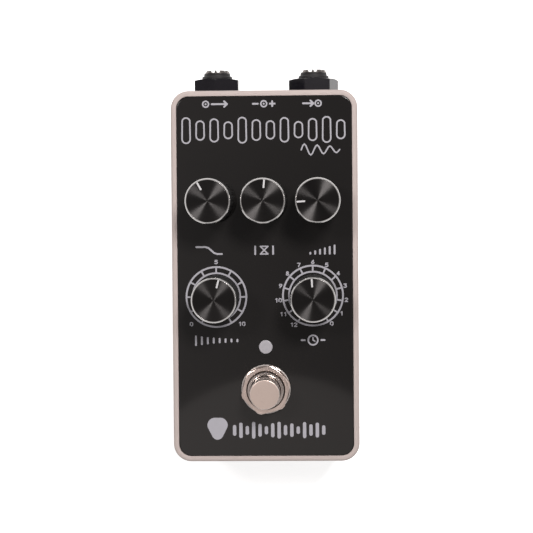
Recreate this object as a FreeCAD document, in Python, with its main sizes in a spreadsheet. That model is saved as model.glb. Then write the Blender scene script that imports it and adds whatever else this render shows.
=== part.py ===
import FreeCAD, Part
import os
import re
import Sketcher
from FreeCAD import Placement, Rotation, Vector

# A compact delay pedal for a guitar, in millimetres.
# The pedal rests on its feet at z = 0 with its face up. X runs across the face, and Y runs from the
# footswitch to the wall with the jacks. The origin is midway between the nearest and farthest points.

# Driving sizes, grouped by the part of the pedal that they shape. Angles are in degrees.
SIZES = {
    # Box, its top face and the plate let into it
    "box_width": 58.5,
    "box_length": 116.5,
    "box_height": 30.5,
    "box_corner": 5.6,
    "box_wall": 2.0,
    "rim_width": 1.75,
    "cut_excess": 0.5,
    "rim_round": 0.8,
    "roof_thickness": 2.0,
    "plate_sink": 1.5,
    "plate_gap": 0.08,
    "plate_thickness": 1.45,
    "plate_edge": 0.5,
    # Cover, its screws and the feet
    "cover_thickness": 2.0,
    "screw_inset": 5.6,
    "screw_thread": 3.0,
    "screw_head": 5.6,
    "screw_end_gap": 0.45,
    "screw_slot_width": 0.8,
    "screw_slot_length": 3.2,
    "screw_slot_depth": 1.0,
    "thread_gap": 0.03,
    "nut_corner_drop": 0.8,
    "screw_hole_gap": 0.2,
    "head_gap": 0.05,
    "post_radius": 4.2,
    "foot_diameter": 10.0,
    "foot_height": 2.5,
    "foot_inset_across": 10.5,
    "foot_inset_along": 16.0,
    # Places on the face, measured in from the sides of the box and from each other
    "upper_inset_across": 12.65,
    "upper_inset_along": 34.55,
    "lower_inset_across": 14.25,
    "row_pitch": 30.0,
    "switch_inset_along": 22.85,
    "lamp_setback": 13.2,
    # How far each knob is turned clockwise from twelve o'clock
    "tone_turn": -29.0,
    "age_turn": 5.0,
    "level_turn": -94.0,
    "repeats_turn": 14.0,
    "time_turn": -3.5,
    # Rotary control under each knob
    "control_width": 9.8,
    "control_length": 11.4,
    "control_depth": 6.8,
    "control_setback": 0.8,
    "control_bushing": 7.0,
    "control_bushing_length": 7.0,
    "bushing_hole_gap": 0.15,
    "control_pin_row": 5.2,
    "control_pin_pitch": 2.5,
    "control_pin_width": 0.9,
    "control_pin_thickness": 0.4,
    "pin_reach": 1.2,
    "shaft_diameter": 6.0,
    "shaft_gap": 0.05,
    "shaft_length": 16.5,
    "shaft_seat": 3.4,
    "shaft_end_gap": 0.25,
    "shaft_flat_depth": 1.5,
    "shaft_flat_length": 8.5,
    "control_nut_flats": 10.0,
    "control_nut_height": 2.0,
    # Knob
    "knob_diameter": 14.0,
    "knob_height": 15.0,
    "knob_gap": 1.0,
    "knob_rim_width": 0.45,
    "knob_rim_drop": 0.4,
    "knob_bore_gap": 0.03,
    "knob_bore_depth": 12.6,
    "knob_recess": 12.2,
    "knob_recess_depth": 3.4,
    "flute_count": 24,
    "flute_width": 1.0,
    "flute_depth": 0.35,
    "flute_top": 0.7,
    "pointer_width": 0.55,
    "pointer_length": 2.7,
    "pointer_margin": 0.05,
    "pointer_depth": 0.12,
    "set_screw": 3.0,
    "set_screw_length": 4.2,
    "set_screw_level": 8.0,
    "set_screw_key": 1.5,
    "set_screw_key_depth": 1.6,
    # Lamp and the lens over it
    "lens_diameter": 4.3,
    "lens_gap": 0.06,
    "lens_flange": 6.0,
    "lens_flange_thickness": 0.8,
    "lamp_diameter": 3.0,
    "lamp_height": 4.6,
    "lamp_leg_pitch": 2.54,
    "lamp_leg_width": 0.5,
    # Footswitch
    "switch_width": 17.0,
    "switch_length": 17.0,
    "switch_frame": 1.0,
    "switch_bushing": 12.0,
    "switch_bushing_length": 9.9,
    "switch_hole_gap": 0.2,
    "switch_nut_flats": 14.0,
    "switch_nut_height": 2.0,
    "switch_nut_turn": 15.0,
    "switch_washer": 15.4,
    "switch_washer_thickness": 0.8,
    "lock_washer": 16.0,
    "lock_washer_thickness": 0.6,
    "plunger_diameter": 9.2,
    "plunger_gap": 0.08,
    "plunger_rise": 8.3,
    "plunger_edge": 0.3,
    "plunger_travel": 3.5,
    "collar_diameter": 11.2,
    "collar_thickness": 1.4,
    "collar_gap": 0.1,
    "chamber_diameter": 12.4,
    "housing_floor": 1.5,
    "spring_solid": 5.0,
    "spring_diameter": 8.4,
    "spring_wall": 0.8,
    "spring_gap": 0.05,
    "lug_pitch": 4.8,
    "lug_width": 2.2,
    "lug_thickness": 0.8,
    "lug_length": 3.8,
    # Jacks
    "jack_spacing": 2.6,
    "jack_depth": 15.0,
    "jack_width": 15.6,
    "jack_height": 15.2,
    "jack_length": 22.0,
    "jack_nose": 9.5,
    "jack_nose_tip": 8.4,
    "jack_nose_taper": 1.3,
    "jack_reach": 7.5,
    "jack_hole_gap": 0.15,
    "jack_washer": 14.0,
    "jack_washer_thickness": 0.5,
    "jack_nut_flats": 14.0,
    "jack_nut_height": 4.0,
    "output_nut_turn": 30.0,
    "input_nut_turn": 9.5,
    "plug_bore": 6.5,
    "ferrule_wall": 0.6,
    "ferrule_length": 10.0,
    "ferrule_lip": 0.9,
    "ferrule_gap": 0.02,
    "jack_back_wall": 1.2,
    "contact_width": 2.4,
    "contact_thickness": 0.4,
    "contact_slot_gap": 0.1,
    "contact_length": 12.0,
    "contact_inset": 2.5,
    # Power socket
    "socket_width": 10.4,
    "socket_rise": 5.6,
    "socket_length": 12.5,
    "socket_nose": 10.0,
    "socket_hole_gap": 0.15,
    "socket_sink": 0.3,
    "socket_bore": 6.3,
    "socket_bore_depth": 9.5,
    "socket_pin": 2.1,
    "socket_pin_drop": 1.0,
    "socket_pin_root": 1.5,
    "socket_pin_foot": 2.8,
    # Boards and what is soldered to them
    "board_thickness": 1.6,
    "board_gap": 1.3,
    "pin_gap": 0.5,
    "chip_width": 7.6,
    "chip_length": 10.4,
    "chip_height": 2.4,
    "small_chip_width": 4.0,
    "small_chip_length": 5.0,
    "small_chip_height": 1.5,
    "chip_spread": 12.0,
    "chip_row": 12.0,
    "capacitor_width": 3.0,
    "capacitor_length": 7.2,
    "capacitor_height": 6.5,
    "capacitor_pitch": 7.0,
    "capacitor_row": -1.0,
    "ribbon_thickness": 0.4,
    "ribbon_width": 10.0,
    "ribbon_overlap": 2.5,
}

# Levels and shared sizes that follow from the driving sizes.
FOLLOWING = {
    "box_middle": "-jack_reach / 2",
    "box_bottom": "foot_height + cover_thickness",
    "box_top": "box_bottom + box_height",
    "plate_floor": "box_top - plate_sink",
    "plate_top": "plate_floor + plate_thickness",
    "roof_under": "plate_floor - roof_thickness",
    "wall_outside": "box_middle + box_length / 2",
    "wall_inside": "wall_outside - box_wall",
    "screw_across": "box_width / 2 - screw_inset",
    "screw_along": "box_length / 2 - screw_inset",
    "foot_across": "box_width / 2 - foot_inset_across",
    "foot_along": "box_length / 2 - foot_inset_along",
    "upper_column": "box_width / 2 - upper_inset_across",
    "lower_column": "box_width / 2 - lower_inset_across",
    "upper_row": "box_length / 2 - upper_inset_along",
    "lower_row": "upper_row - row_pitch",
    "switch_row": "switch_inset_along - box_length / 2",
    "lamp_row": "switch_row + lamp_setback",
    "bushing_hole": "control_bushing / 2 + bushing_hole_gap",
    "switch_hole": "switch_bushing / 2 + switch_hole_gap",
    "shaft_bore": "shaft_diameter / 2 + shaft_gap",
    "knob_bore": "shaft_diameter / 2 + knob_bore_gap",
    "knob_bottom": "plate_top + knob_gap",
    "set_screw_inner": "shaft_diameter / 2 - shaft_flat_depth",
    "switch_shoulder": "roof_under - lock_washer_thickness - switch_nut_height",
    "switch_bore": "plunger_diameter / 2 + plunger_gap",
    "collar_top": "switch_shoulder - switch_frame - collar_gap",
    "chamber_depth": "collar_gap + collar_thickness + plunger_travel + spring_solid",
    "chamber_floor": "switch_shoulder - switch_frame - chamber_depth",
    "switch_under": "chamber_floor - housing_floor",
    "jack_column": "(socket_width + jack_width) / 2 + jack_spacing",
    "jack_level": "plate_top - jack_depth",
    "jack_tip": "box_wall + jack_reach",
    "nose_end": "jack_tip - ferrule_lip",
    "ferrule_radius": "plug_bore / 2 + ferrule_wall",
    "tunnel_radius": "ferrule_radius + ferrule_gap",
    "board_top": "roof_under - control_depth",
    "board_under": "board_top - board_thickness",
    "board_front": "box_middle + switch_row + switch_length / 2 + board_gap",
    "board_back": "wall_inside - jack_length - board_gap",
    "board_width": "box_width - 2 * (box_wall + board_gap)",
    "jack_board_top": "jack_level - jack_height / 2",
    "jack_board_under": "jack_board_top - board_thickness",
    "post_height": "jack_board_under - box_bottom - board_gap",
    "screw_length": "cover_thickness + post_height - screw_end_gap",
}

# Each rotary control: its place across and along the face, and how far its knob is turned.
CONTROLS = {
    "tone": ("-upper_column", "upper_row", "tone_turn"),
    "age": ("0", "upper_row", "age_turn"),
    "level": ("upper_column", "upper_row", "level_turn"),
    "repeats": ("-lower_column", "lower_row", "repeats_turn"),
    "time": ("lower_column", "lower_row", "time_turn"),
}

# Each jack: its place across the far wall, and how its nut came to rest.
JACKS = {
    "output": ("-jack_column", "output_nut_turn"),
    "input": ("jack_column", "input_nut_turn"),
}

# The four corners of the box, as the signs of their places across and along.
CORNERS = [("-", "-"), ("-", ""), ("", "-"), ("", "")]

NEAR = 1e-4
FLAT = "XY_Plane"
UPRIGHT = "XZ_Plane"
SIDEWAYS = "YZ_Plane"
OUT_OF_WALL = Rotation(Vector(1, 0, 0), -90)

doc = FreeCAD.newDocument("DelayPedal")
sheet = doc.addObject("Spreadsheet::Sheet", "Sizes")
for row, (name, size) in enumerate(SIZES.items(), start=1):
    sheet.set(f"A{row}", name.replace("_", " "))
    sheet.set(f"B{row}", str(size))
    sheet.setAlias(f"B{row}", name)
doc.recompute()

pieces = {}


def formula(text):
    """A formula written in the names of sizes, as an expression that reads the sheet."""

    def look_up(match):
        word = match.group()
        if word in FOLLOWING:
            return f"({formula(FOLLOWING[word])})"
        return f"Sizes.{word}" if word in SIZES else word

    return re.sub(r"[a-z_]+", look_up, text)


def value(text):
    """What a formula comes to now."""
    return float(sheet.evalExpression(formula(text)))


class Sketch:
    """A sketch on one of a piece's own planes, with every point held by formulas."""

    def __init__(self, piece, name, plane, lift):
        self.item = piece.body.newObject("Sketcher::SketchObject", name)
        self.item.AttachmentSupport = (piece.planes[plane], [""])
        self.item.MapMode = "FlatFace"
        self.item.setExpression("AttachmentOffset.Base.z", formula(lift))

    def hold(self, shape, end, x, y):
        """Hold one point of a line or arc at a place, or only along one axis where the other is None."""
        for kind, place in (("DistanceX", x), ("DistanceY", y)):
            if place is None:
                continue
            rule = Sketcher.Constraint(kind, -1, 1, shape, end, value(place))
            number = self.item.addConstraint(rule)
            self.item.setExpression(f"Constraints[{number}]", formula(place))

    def size(self, shape, radius):
        """Give a circle or an arc its radius."""
        number = self.item.addConstraint(Sketcher.Constraint("Radius", shape, value(radius)))
        self.item.setExpression(f"Constraints[{number}]", formula(radius))

    def line(self, start, end):
        """A straight line between two places."""
        ends = [Vector(value(x), value(y), 0) for x, y in (start, end)]
        return self.item.addGeometry(Part.LineSegment(*ends))

    def arc(self, x, y, radius, first, last):
        """An arc about a centre, anticlockwise from one angle to another."""
        circle = Part.Circle(Vector(value(x), value(y), 0), Vector(0, 0, 1), value(radius))
        ends = [FreeCAD.Units.Quantity(f"{angle} deg").getValueAs("rad").Value for angle in (first, last)]
        return self.item.addGeometry(Part.ArcOfCircle(circle, *ends))

    def join(self, first, second):
        """Join the end of one line or arc to the start of the next."""
        self.item.addConstraint(Sketcher.Constraint("Coincident", first, 2, second, 1))

    def circle(self, radius, x="0", y="0"):
        """A full circle."""
        centre = Vector(value(x), value(y), 0)
        shape = self.item.addGeometry(Part.Circle(centre, Vector(0, 0, 1), value(radius)))
        self.hold(shape, 3, x, y)
        self.size(shape, radius)
        return self

    def outline(self, corners):
        """A closed outline of straight lines."""
        lines = [self.line(a, b) for a, b in zip(corners, corners[1:] + corners[:1])]
        for shape, (x, y) in zip(lines, corners):
            self.hold(shape, 1, x, y)
        for first, second in zip(lines, lines[1:] + lines[:1]):
            self.join(first, second)
        return self

    def rectangle(self, width, length, x="0", y="0"):
        """A rectangle about a centre."""
        left, right = f"{x} - {width} / 2", f"{x} + {width} / 2"
        low, high = f"{y} - {length} / 2", f"{y} + {length} / 2"
        return self.outline([(left, low), (right, low), (right, high), (left, high)])

    def rounded_rectangle(self, width, length, radius, x="0", y="0"):
        """A rectangle about a centre, with quarter circles for corners."""
        left, right = f"{x} - ({width}) / 2", f"{x} + ({width}) / 2"
        low, high = f"{y} - ({length}) / 2", f"{y} + ({length}) / 2"
        near_left, near_right = f"{left} + {radius}", f"{right} - ({radius})"
        near_low, near_high = f"{low} + {radius}", f"{high} - ({radius})"
        runs = [
            ((near_left, low), (near_right, low)),
            ((right, near_low), (right, near_high)),
            ((near_right, high), (near_left, high)),
            ((left, near_high), (left, near_low)),
        ]
        centres = [
            (near_right, near_low),
            (near_right, near_high),
            (near_left, near_high),
            (near_left, near_low),
        ]
        lines = [self.line(*run) for run in runs]
        for shape, run in zip(lines, runs):
            self.hold(shape, 1, *run[0])
            self.hold(shape, 2, *run[1])
        for number, (x_centre, y_centre) in enumerate(centres):
            start = 90 * number - 90
            bend = self.arc(x_centre, y_centre, radius, start, start + 90)
            self.join(lines[number], bend)
            self.join(bend, lines[(number + 1) % 4])
            self.size(bend, radius)
        return self

    def hexagon(self, flats, turn="0"):
        """A regular hexagon about the middle, by its width across flats."""
        reach = f"{flats} / 2 / cos(30)"
        angles = [f"({turn} + {60 * number})" for number in range(6)]
        return self.outline([(f"{reach} * cos{angle}", f"{reach} * sin{angle}") for angle in angles])


class Piece:
    """One solid of the pedal, and the features that shape it in turn."""

    def __init__(self, name, x="0", y="0", z="0", turn=None, lay=None):
        self.body = doc.addObject("PartDesign::Body", name)
        self.body.Label = name
        self.planes = {plane.Role: plane for plane in self.body.Origin.OriginFeatures}
        if lay:
            self.body.Placement = Placement(Vector(), lay)
        for axis, place in (("x", x), ("y", y), ("z", z)):
            self.body.setExpression(f"Placement.Base.{axis}", formula(place))
        if turn:
            self.body.setExpression("Placement.Rotation.Yaw", formula(f"-{turn}"))
        pieces[name] = self.body

    def sketch(self, name, plane=FLAT, lift="0"):
        return Sketch(self, name, plane, lift)

    def feature(self, kind, name, **settings):
        """Add a feature, with numbers and links set as given and formulas bound to the sheet."""
        item = self.body.newObject(f"PartDesign::{kind}", name)
        for key, setting in settings.items():
            if key in ("Length", "Radius", "Size", "Occurrences"):
                item.setExpression(key, formula(setting))
            else:
                setattr(item, key, setting)
        return item

    def pad(self, name, sketch, length, down=False):
        """Raise a solid on a sketch."""
        return self.feature("Pad", name, Profile=sketch.item, Length=length, Reversed=down)

    def cut(self, name, sketch, depth, up=False):
        """Cut downwards from a sketch, or upwards."""
        return self.removes("Pocket", name, Profile=sketch.item, Length=depth, Reversed=up)

    def turned(self, name, sketch, axis="V_Axis"):
        """A solid turned about a line of its sketch."""
        line = (sketch.item, [axis])
        return self.feature("Revolution", name, Profile=sketch.item, ReferenceAxis=line, Angle=360)

    def removes(self, kind, name, **settings):
        """Add a feature that has to take material away."""
        doc.recompute()
        before = self.body.Shape.Volume
        item = self.feature(kind, name, **settings)
        doc.recompute()
        if self.body.Shape.Volume > before - NEAR:
            raise ValueError(f"{name} takes nothing away from {self.body.Label}")
        return item

    def dress(self, kind, name, size, chosen):
        """Round or chamfer the edges that a test picks."""
        doc.recompute()
        base = self.body.Tip
        edges = [f"Edge{number}" for number, edge in enumerate(base.Shape.Edges, start=1) if chosen(edge)]
        key = "Radius" if kind == "Fillet" else "Size"
        return self.feature(kind, name, Base=(base, edges), **{key: size})

    def repeat_around(self, name, item, count):
        """Repeat a feature evenly about the piece's own Z axis."""
        around = {"Axis": (self.planes["Z_Axis"], [""]), "Angle": 360}
        pattern = self.feature("PolarPattern", name, Originals=[item], **around, Occurrences=count)
        self.body.Tip = pattern
        return pattern


def lies_at(edge, level):
    """Whether an edge lies flat at a height of its own piece."""
    box = edge.BoundBox
    return abs(box.ZMin - value(level)) < NEAR and abs(box.ZMax - value(level)) < NEAR


def is_circle(edge, radius):
    """Whether an edge is an arc or circle of a radius."""
    return hasattr(edge.Curve, "Radius") and abs(edge.Curve.Radius - value(radius)) < NEAR


def group(name, members):
    """Several separate solids kept as one sub-part."""
    item = doc.addObject("Part::Compound", name)
    item.Label = name
    item.Links = members
    for member in members:
        pieces.pop(member.Label, None)
    pieces[name] = item


def block(name, width, length, height, x, y, z):
    """A plain block, given by its middle across and along and by its lowest level."""
    item = doc.addObject("Part::Box", name)
    item.Label = name
    for key, size in (("Length", width), ("Width", length), ("Height", height)):
        item.setExpression(key, formula(size))
    places = (("x", f"{x} - {width} / 2"), ("y", f"{y} - {length} / 2"), ("z", z))
    for axis, place in places:
        item.setExpression(f"Placement.Base.{axis}", formula(place))
    return item


def ring(name, outer, inner, thickness, **place):
    """A flat washer or a short tube."""
    piece = Piece(name, **place)
    piece.pad("disc", piece.sketch("outline").circle(outer).circle(inner), thickness)
    return piece


def hexagon_nut(name, flats, height, inner, turn="0", **place):
    """A hexagon nut."""
    piece = Piece(name, **place)
    piece.pad("hexagon", piece.sketch("flats").hexagon(flats, turn).circle(inner), height)
    return piece


def turn_corners(nut, flats, height):
    """Turn the corners of a nut's outer face down to a cone."""
    inside, beyond = f"{flats} / 2", f"{flats} / 2 / cos(30) + cut_excess"
    section = nut.sketch("corner_section", UPRIGHT)
    section.outline([(inside, height), (beyond, f"{height} - nut_corner_drop"), (beyond, height)])
    axis = (section.item, ["V_Axis"])
    nut.removes("Groove", "turned_corners", Profile=section.item, ReferenceAxis=axis, Angle=360)


def face_holes(sketch, lens_hole):
    """The holes that the box and the plate share: five controls, the lens and the footswitch."""
    for across, along, _ in CONTROLS.values():
        sketch.circle("bushing_hole", across, along)
    sketch.circle(lens_hole, "0", "lamp_row")
    sketch.circle("switch_hole", "0", "switch_row")
    return sketch


def make_enclosure():
    """The cast box: open below, with a plate seat, posts for the screws and holes for what it carries."""
    box = Piece("enclosure", y="box_middle", z="box_bottom")
    walls = box.sketch("outer_outline").rounded_rectangle("box_width", "box_length", "box_corner")
    box.pad("outer_block", walls, "box_height")
    box.dress("Fillet", "rim_edge", "rim_round", lambda e: lies_at(e, "box_height"))
    seat = box.sketch("seat_outline", lift="box_height")
    inset = "2 * rim_width"
    seat.rounded_rectangle(f"box_width - {inset}", f"box_length - {inset}", "box_corner - rim_width")
    box.cut("plate_seat", seat, "plate_sink")
    hollow = box.sketch("hollow_outline")
    hollow.rounded_rectangle("box_width - 2 * box_wall", "box_length - 2 * box_wall", "box_corner - box_wall")
    box.cut("hollow", hollow, "box_height - plate_sink - roof_thickness", up=True)
    for number, (side, end) in enumerate(CORNERS, start=1):
        place = (f"{side}screw_across", f"{end}screw_along")
        post = box.sketch(f"post_outline_{number}").circle("post_radius", *place)
        box.pad(f"post_{number}", post, "post_height")
        hole = box.sketch(f"tapped_hole_{number}").circle("screw_thread / 2 + thread_gap", *place)
        box.cut(f"tapped_{number}", hole, "post_height + cut_excess", up=True)
    holes = face_holes(box.sketch("face_holes", lift="box_height"), "lens_diameter / 2 + lens_gap")
    box.cut("through_roof", holes, "plate_sink + roof_thickness + cut_excess")
    wall_holes = box.sketch("wall_holes", UPRIGHT, lift="-box_length / 2")
    level = "jack_level - box_bottom"
    for across, _ in JACKS.values():
        wall_holes.circle("jack_nose / 2 + jack_hole_gap", across, level)
    wall_holes.circle("socket_nose / 2 + socket_hole_gap", "0", level)
    box.cut("through_wall", wall_holes, "box_wall + cut_excess", up=True)


def make_front_plate():
    """The glossy plate let into the box, with a broken border."""
    plate = Piece("front_plate", y="box_middle", z="plate_floor")
    margin = "2 * (rim_width + plate_gap)"
    edge = plate.sketch("outline")
    corner = "box_corner - rim_width - plate_gap"
    edge.rounded_rectangle(f"box_width - {margin}", f"box_length - {margin}", corner)
    plate.pad("sheet", edge, "plate_thickness")
    plate.dress("Chamfer", "border", "plate_edge", lambda e: lies_at(e, "plate_thickness"))
    holes = face_holes(plate.sketch("holes", lift="plate_thickness"), "lens_diameter / 2 + lens_gap")
    plate.cut("face_holes", holes, "plate_thickness + cut_excess")


def make_bottom_cover():
    """The flat cover under the box, countersunk for four screws."""
    cover = Piece("bottom_cover", y="box_middle", z="foot_height")
    edge = cover.sketch("outline").rounded_rectangle("box_width", "box_length", "box_corner")
    cover.pad("sheet", edge, "cover_thickness")
    holes = cover.sketch("screw_holes")
    hole = "screw_thread / 2 + screw_hole_gap"
    for side, end in CORNERS:
        holes.circle(hole, f"{side}screw_across", f"{end}screw_along")
    cover.cut("screw_holes_cut", holes, "cover_thickness + cut_excess", up=True)
    cover.dress(
        "Chamfer",
        "countersinks",
        f"screw_head / 2 + head_gap - ({hole})",
        lambda e: lies_at(e, "0") and is_circle(e, hole),
    )


def make_cover_screws():
    """Four countersunk screws with a cross in the head, driven up into the posts."""
    head, thread = "screw_head / 2", "screw_thread / 2"
    section = [
        ("0", "0"),
        (head, "0"),
        (thread, f"{head} - {thread}"),
        (thread, "screw_length"),
        ("0", "screw_length"),
    ]
    screws = []
    for side, end in CORNERS:
        place = {"x": f"{side}screw_across", "y": f"box_middle + {end}screw_along", "z": "foot_height"}
        screw = Piece(f"cover_screw_{len(screws) + 1}", **place)
        screw.turned("shank", screw.sketch("section", UPRIGHT).outline(section))
        for name, width, length in (("slot", "length", "width"), ("cross", "width", "length")):
            slot = screw.sketch(f"{name}_outline")
            slot.rectangle(f"screw_slot_{width}", f"screw_slot_{length}")
            screw.cut(name, slot, "screw_slot_depth", up=True)
        screws.append(screw.body)
    group("cover_screws", screws)


def make_rubber_feet():
    """Four round feet glued under the cover."""
    feet = []
    for side, end in CORNERS:
        foot = Piece(f"foot_{len(feet) + 1}", x=f"{side}foot_across", y=f"box_middle + {end}foot_along")
        foot.pad("disc", foot.sketch("outline").circle("foot_diameter / 2"), "foot_height")
        feet.append(foot.body)
    group("rubber_feet", feet)


def make_control(name, across, along):
    """A rotary control: a square case under the roof, and a bushing up through the plate."""
    part = Piece(f"{name}_control", x=across, y=f"box_middle + {along}", z="roof_under")
    case = part.sketch("case_outline").rectangle("control_width", "control_length", y="-control_setback")
    part.pad("case", case, "control_depth", down=True)
    bushing = part.sketch("bushing_outline").circle("control_bushing / 2")
    part.pad("bushing", bushing, "control_bushing_length")
    bore = part.sketch("bore_outline", lift="control_bushing_length").circle("shaft_bore")
    part.cut("bore", bore, "control_bushing_length + shaft_seat + shaft_end_gap")
    pins = part.sketch("pins_outline", lift="-control_depth")
    for step in ("-control_pin_pitch", "0", "control_pin_pitch"):
        pins.rectangle("control_pin_width", "control_pin_thickness", step, "-control_pin_row")
    part.pad("pins", pins, "board_thickness + pin_reach", down=True)


def make_shaft(name, across, along, turn):
    """The turning shaft, with a flat for the set screw."""
    shaft = Piece(f"{name}_shaft", x=across, y=f"box_middle + {along}", z="roof_under", turn=turn)
    stem = shaft.sketch("outline", lift="-shaft_seat").circle("shaft_diameter / 2")
    shaft.pad("stem", stem, "shaft_seat + shaft_length")
    flat = shaft.sketch("flat_outline", lift="shaft_length")
    flat.rectangle("shaft_diameter", "shaft_flat_depth * 2", y="-shaft_diameter / 2")
    shaft.cut("flat", flat, "shaft_flat_length")


def make_knob(name, across, along, turn):
    """The knob: fluted side, cut rim, a pointer groove in its face, and a recess over the nut."""
    knob = Piece(f"{name}_knob", x=across, y=f"box_middle + {along}", z="knob_bottom", turn=turn)
    side, recess = "knob_diameter / 2", "knob_recess / 2"
    face = "knob_diameter / 2 - knob_rim_width"
    section = [
        (recess, "0"),
        (side, "0"),
        (side, "knob_height - knob_rim_drop"),
        (face, "knob_height"),
        ("0", "knob_height"),
        ("0", "knob_bore_depth"),
        ("knob_bore", "knob_bore_depth"),
        ("knob_bore", "knob_recess_depth"),
        (recess, "knob_recess_depth"),
    ]
    knob.turned("blank", knob.sketch("section", UPRIGHT).outline(section))
    groove = knob.sketch("pointer_outline", lift="knob_height")
    half = "pointer_width / 2"
    inner = f"{face} - pointer_length + {half}"
    outer = f"{face} - pointer_margin"
    runs = [
        ((half, inner), (half, outer)),
        ((half, outer), (f"-{half}", outer)),
        ((f"-{half}", outer), (f"-{half}", inner)),
    ]
    lines = [groove.line(*run) for run in runs]
    for shape, run in zip(lines, runs):
        groove.hold(shape, 1, *run[0])
    groove.hold(lines[-1], 2, *runs[-1][1])
    end = groove.arc("0", inner, half, 180, 360)
    groove.hold(end, 3, None, inner)
    for first, second in zip(lines + [end], lines[1:] + [end] + lines[:1]):
        groove.join(first, second)
    knob.cut("pointer", groove, "pointer_depth")
    hole = knob.sketch("set_screw_outline", UPRIGHT)
    hole.circle("set_screw / 2 + thread_gap", "0", "set_screw_level")
    knob.feature("Pocket", "set_screw_hole", Profile=hole.item, Length="knob_diameter", Reversed=True)
    flute = knob.sketch("flute_outline")
    beyond = f"{side} + flute_depth"
    flute.outline([("-flute_width", beyond), ("0", f"{side} - flute_depth"), ("flute_width", beyond)])
    cut = knob.cut("flute", flute, "knob_height - knob_rim_drop - flute_top", up=True)
    knob.repeat_around("fluted_side", cut, "flute_count")


def make_set_screw(name, across, along, turn):
    """The headless screw that clamps a knob on the flat of its shaft."""
    level = "knob_bottom + set_screw_level"
    screw = Piece(f"{name}_set_screw", x=across, y=f"box_middle + {along}", z=level, turn=turn)
    blank = screw.sketch("outline", UPRIGHT, lift="set_screw_inner").circle("set_screw / 2")
    screw.pad("blank", blank, "set_screw_length")
    key = screw.sketch("key_outline", UPRIGHT, lift="set_screw_inner + set_screw_length")
    screw.cut("key", key.hexagon("set_screw_key"), "set_screw_key_depth")


def make_controls():
    """Five controls with their shafts and knobs, and the nuts that hold them."""
    nuts = []
    for name, (across, along, turn) in CONTROLS.items():
        make_control(name, across, along)
        make_shaft(name, across, along, turn)
        make_knob(name, across, along, turn)
        make_set_screw(name, across, along, turn)
        nut = hexagon_nut(
            f"{name}_nut",
            "control_nut_flats",
            "control_nut_height",
            "control_bushing / 2 + thread_gap",
            x=across,
            y=f"box_middle + {along}",
            z="plate_top",
        )
        nuts.append(nut.body)
    group("control_nuts", nuts)


def make_lamp():
    """The lamp on the main board, and the lens that carries its light to the face."""
    lamp = Piece("lamp", y="box_middle + lamp_row", z="board_top")
    dome = "lamp_diameter / 2"
    lamp.pad("base", lamp.sketch("outline").circle(dome), f"lamp_height - {dome}")
    ball = lamp.feature("AdditiveSphere", "dome", Angle1=0)
    ball.setExpression("Radius", formula(dome))
    ball.setExpression("AttachmentOffset.Base.z", formula(f"lamp_height - {dome}"))
    legs = lamp.sketch("legs_outline")
    for step in ("-lamp_leg_pitch / 2", "lamp_leg_pitch / 2"):
        legs.rectangle("lamp_leg_width", "lamp_leg_width", step)
    lamp.pad("legs", legs, "board_thickness + pin_reach", down=True)
    lens = Piece("lamp_lens", y="box_middle + lamp_row", z="roof_under")
    rod = lens.sketch("rod_outline").circle("lens_diameter / 2")
    lens.pad("rod", rod, "roof_thickness + plate_thickness")
    flange = lens.sketch("flange_outline").circle("lens_flange / 2")
    lens.pad("flange", flange, "lens_flange_thickness", down=True)


def make_footswitch():
    """The footswitch: case, frame with bushing, plunger on a spring, and what clamps it to the roof."""
    place = {"y": "box_middle + switch_row"}
    bushing = "switch_bushing / 2"
    thread = f"{bushing} + thread_gap"

    frame = Piece("switch_frame", z="switch_shoulder", **place)
    sheet_outline = frame.sketch("outline").rectangle("switch_width", "switch_length")
    frame.pad("sheet", sheet_outline, "switch_frame", down=True)
    frame.pad("bushing", frame.sketch("bushing_outline").circle(bushing), "switch_bushing_length")
    bore = frame.sketch("bore_outline", lift="switch_bushing_length").circle("switch_bore")
    frame.cut("bore", bore, "switch_bushing_length + switch_frame + cut_excess")

    housing = Piece("switch_housing", z="switch_shoulder - switch_frame", **place)
    outline = housing.sketch("outline").rectangle("switch_width", "switch_length")
    housing.pad("block", outline, "chamber_depth + housing_floor", down=True)
    housing.cut("chamber", housing.sketch("chamber_outline").circle("chamber_diameter / 2"), "chamber_depth")

    plunger = Piece("switch_plunger", z="collar_top", **place)
    stem, collar = "plunger_diameter / 2", "collar_diameter / 2"
    rise = "collar_gap + switch_frame + switch_bushing_length + plunger_rise"
    section = plunger.sketch("section", UPRIGHT)
    section.outline(
        [
            ("0", "-collar_thickness"),
            (collar, "-collar_thickness"),
            (collar, "0"),
            (stem, "0"),
            (stem, f"{rise} - plunger_edge"),
            (f"{stem} - plunger_edge", rise),
            ("0", rise),
        ]
    )
    plunger.turned("stem", section)

    ring(
        "switch_spring",
        "spring_diameter / 2",
        "spring_diameter / 2 - spring_wall",
        "collar_top - collar_thickness - chamber_floor - 2 * spring_gap",
        z="chamber_floor + spring_gap",
        **place,
    )

    lugs = []
    for across in ("-lug_pitch", "0", "lug_pitch"):
        for along in ("-lug_pitch", "0", "lug_pitch"):
            middle = f"box_middle + switch_row + {along}"
            name, level = f"lug_{len(lugs) + 1}", "switch_under - lug_length"
            lugs.append(block(name, "lug_width", "lug_thickness", "lug_length", across, middle, level))
    group("switch_lugs", lugs)

    flats, height = "switch_nut_flats", "switch_nut_height"
    hexagon_nut("switch_inner_nut", flats, height, thread, z="switch_shoulder", **place)
    lock_level = "switch_shoulder + switch_nut_height"
    ring("switch_lock_washer", "lock_washer / 2", thread, "lock_washer_thickness", z=lock_level, **place)
    ring("switch_washer", "switch_washer / 2", thread, "switch_washer_thickness", z="plate_top", **place)
    nut_level = "plate_top + switch_washer_thickness"
    nut = hexagon_nut("switch_nut", flats, height, thread, "switch_nut_turn", z=nut_level, **place)
    turn_corners(nut, flats, height)


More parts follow.
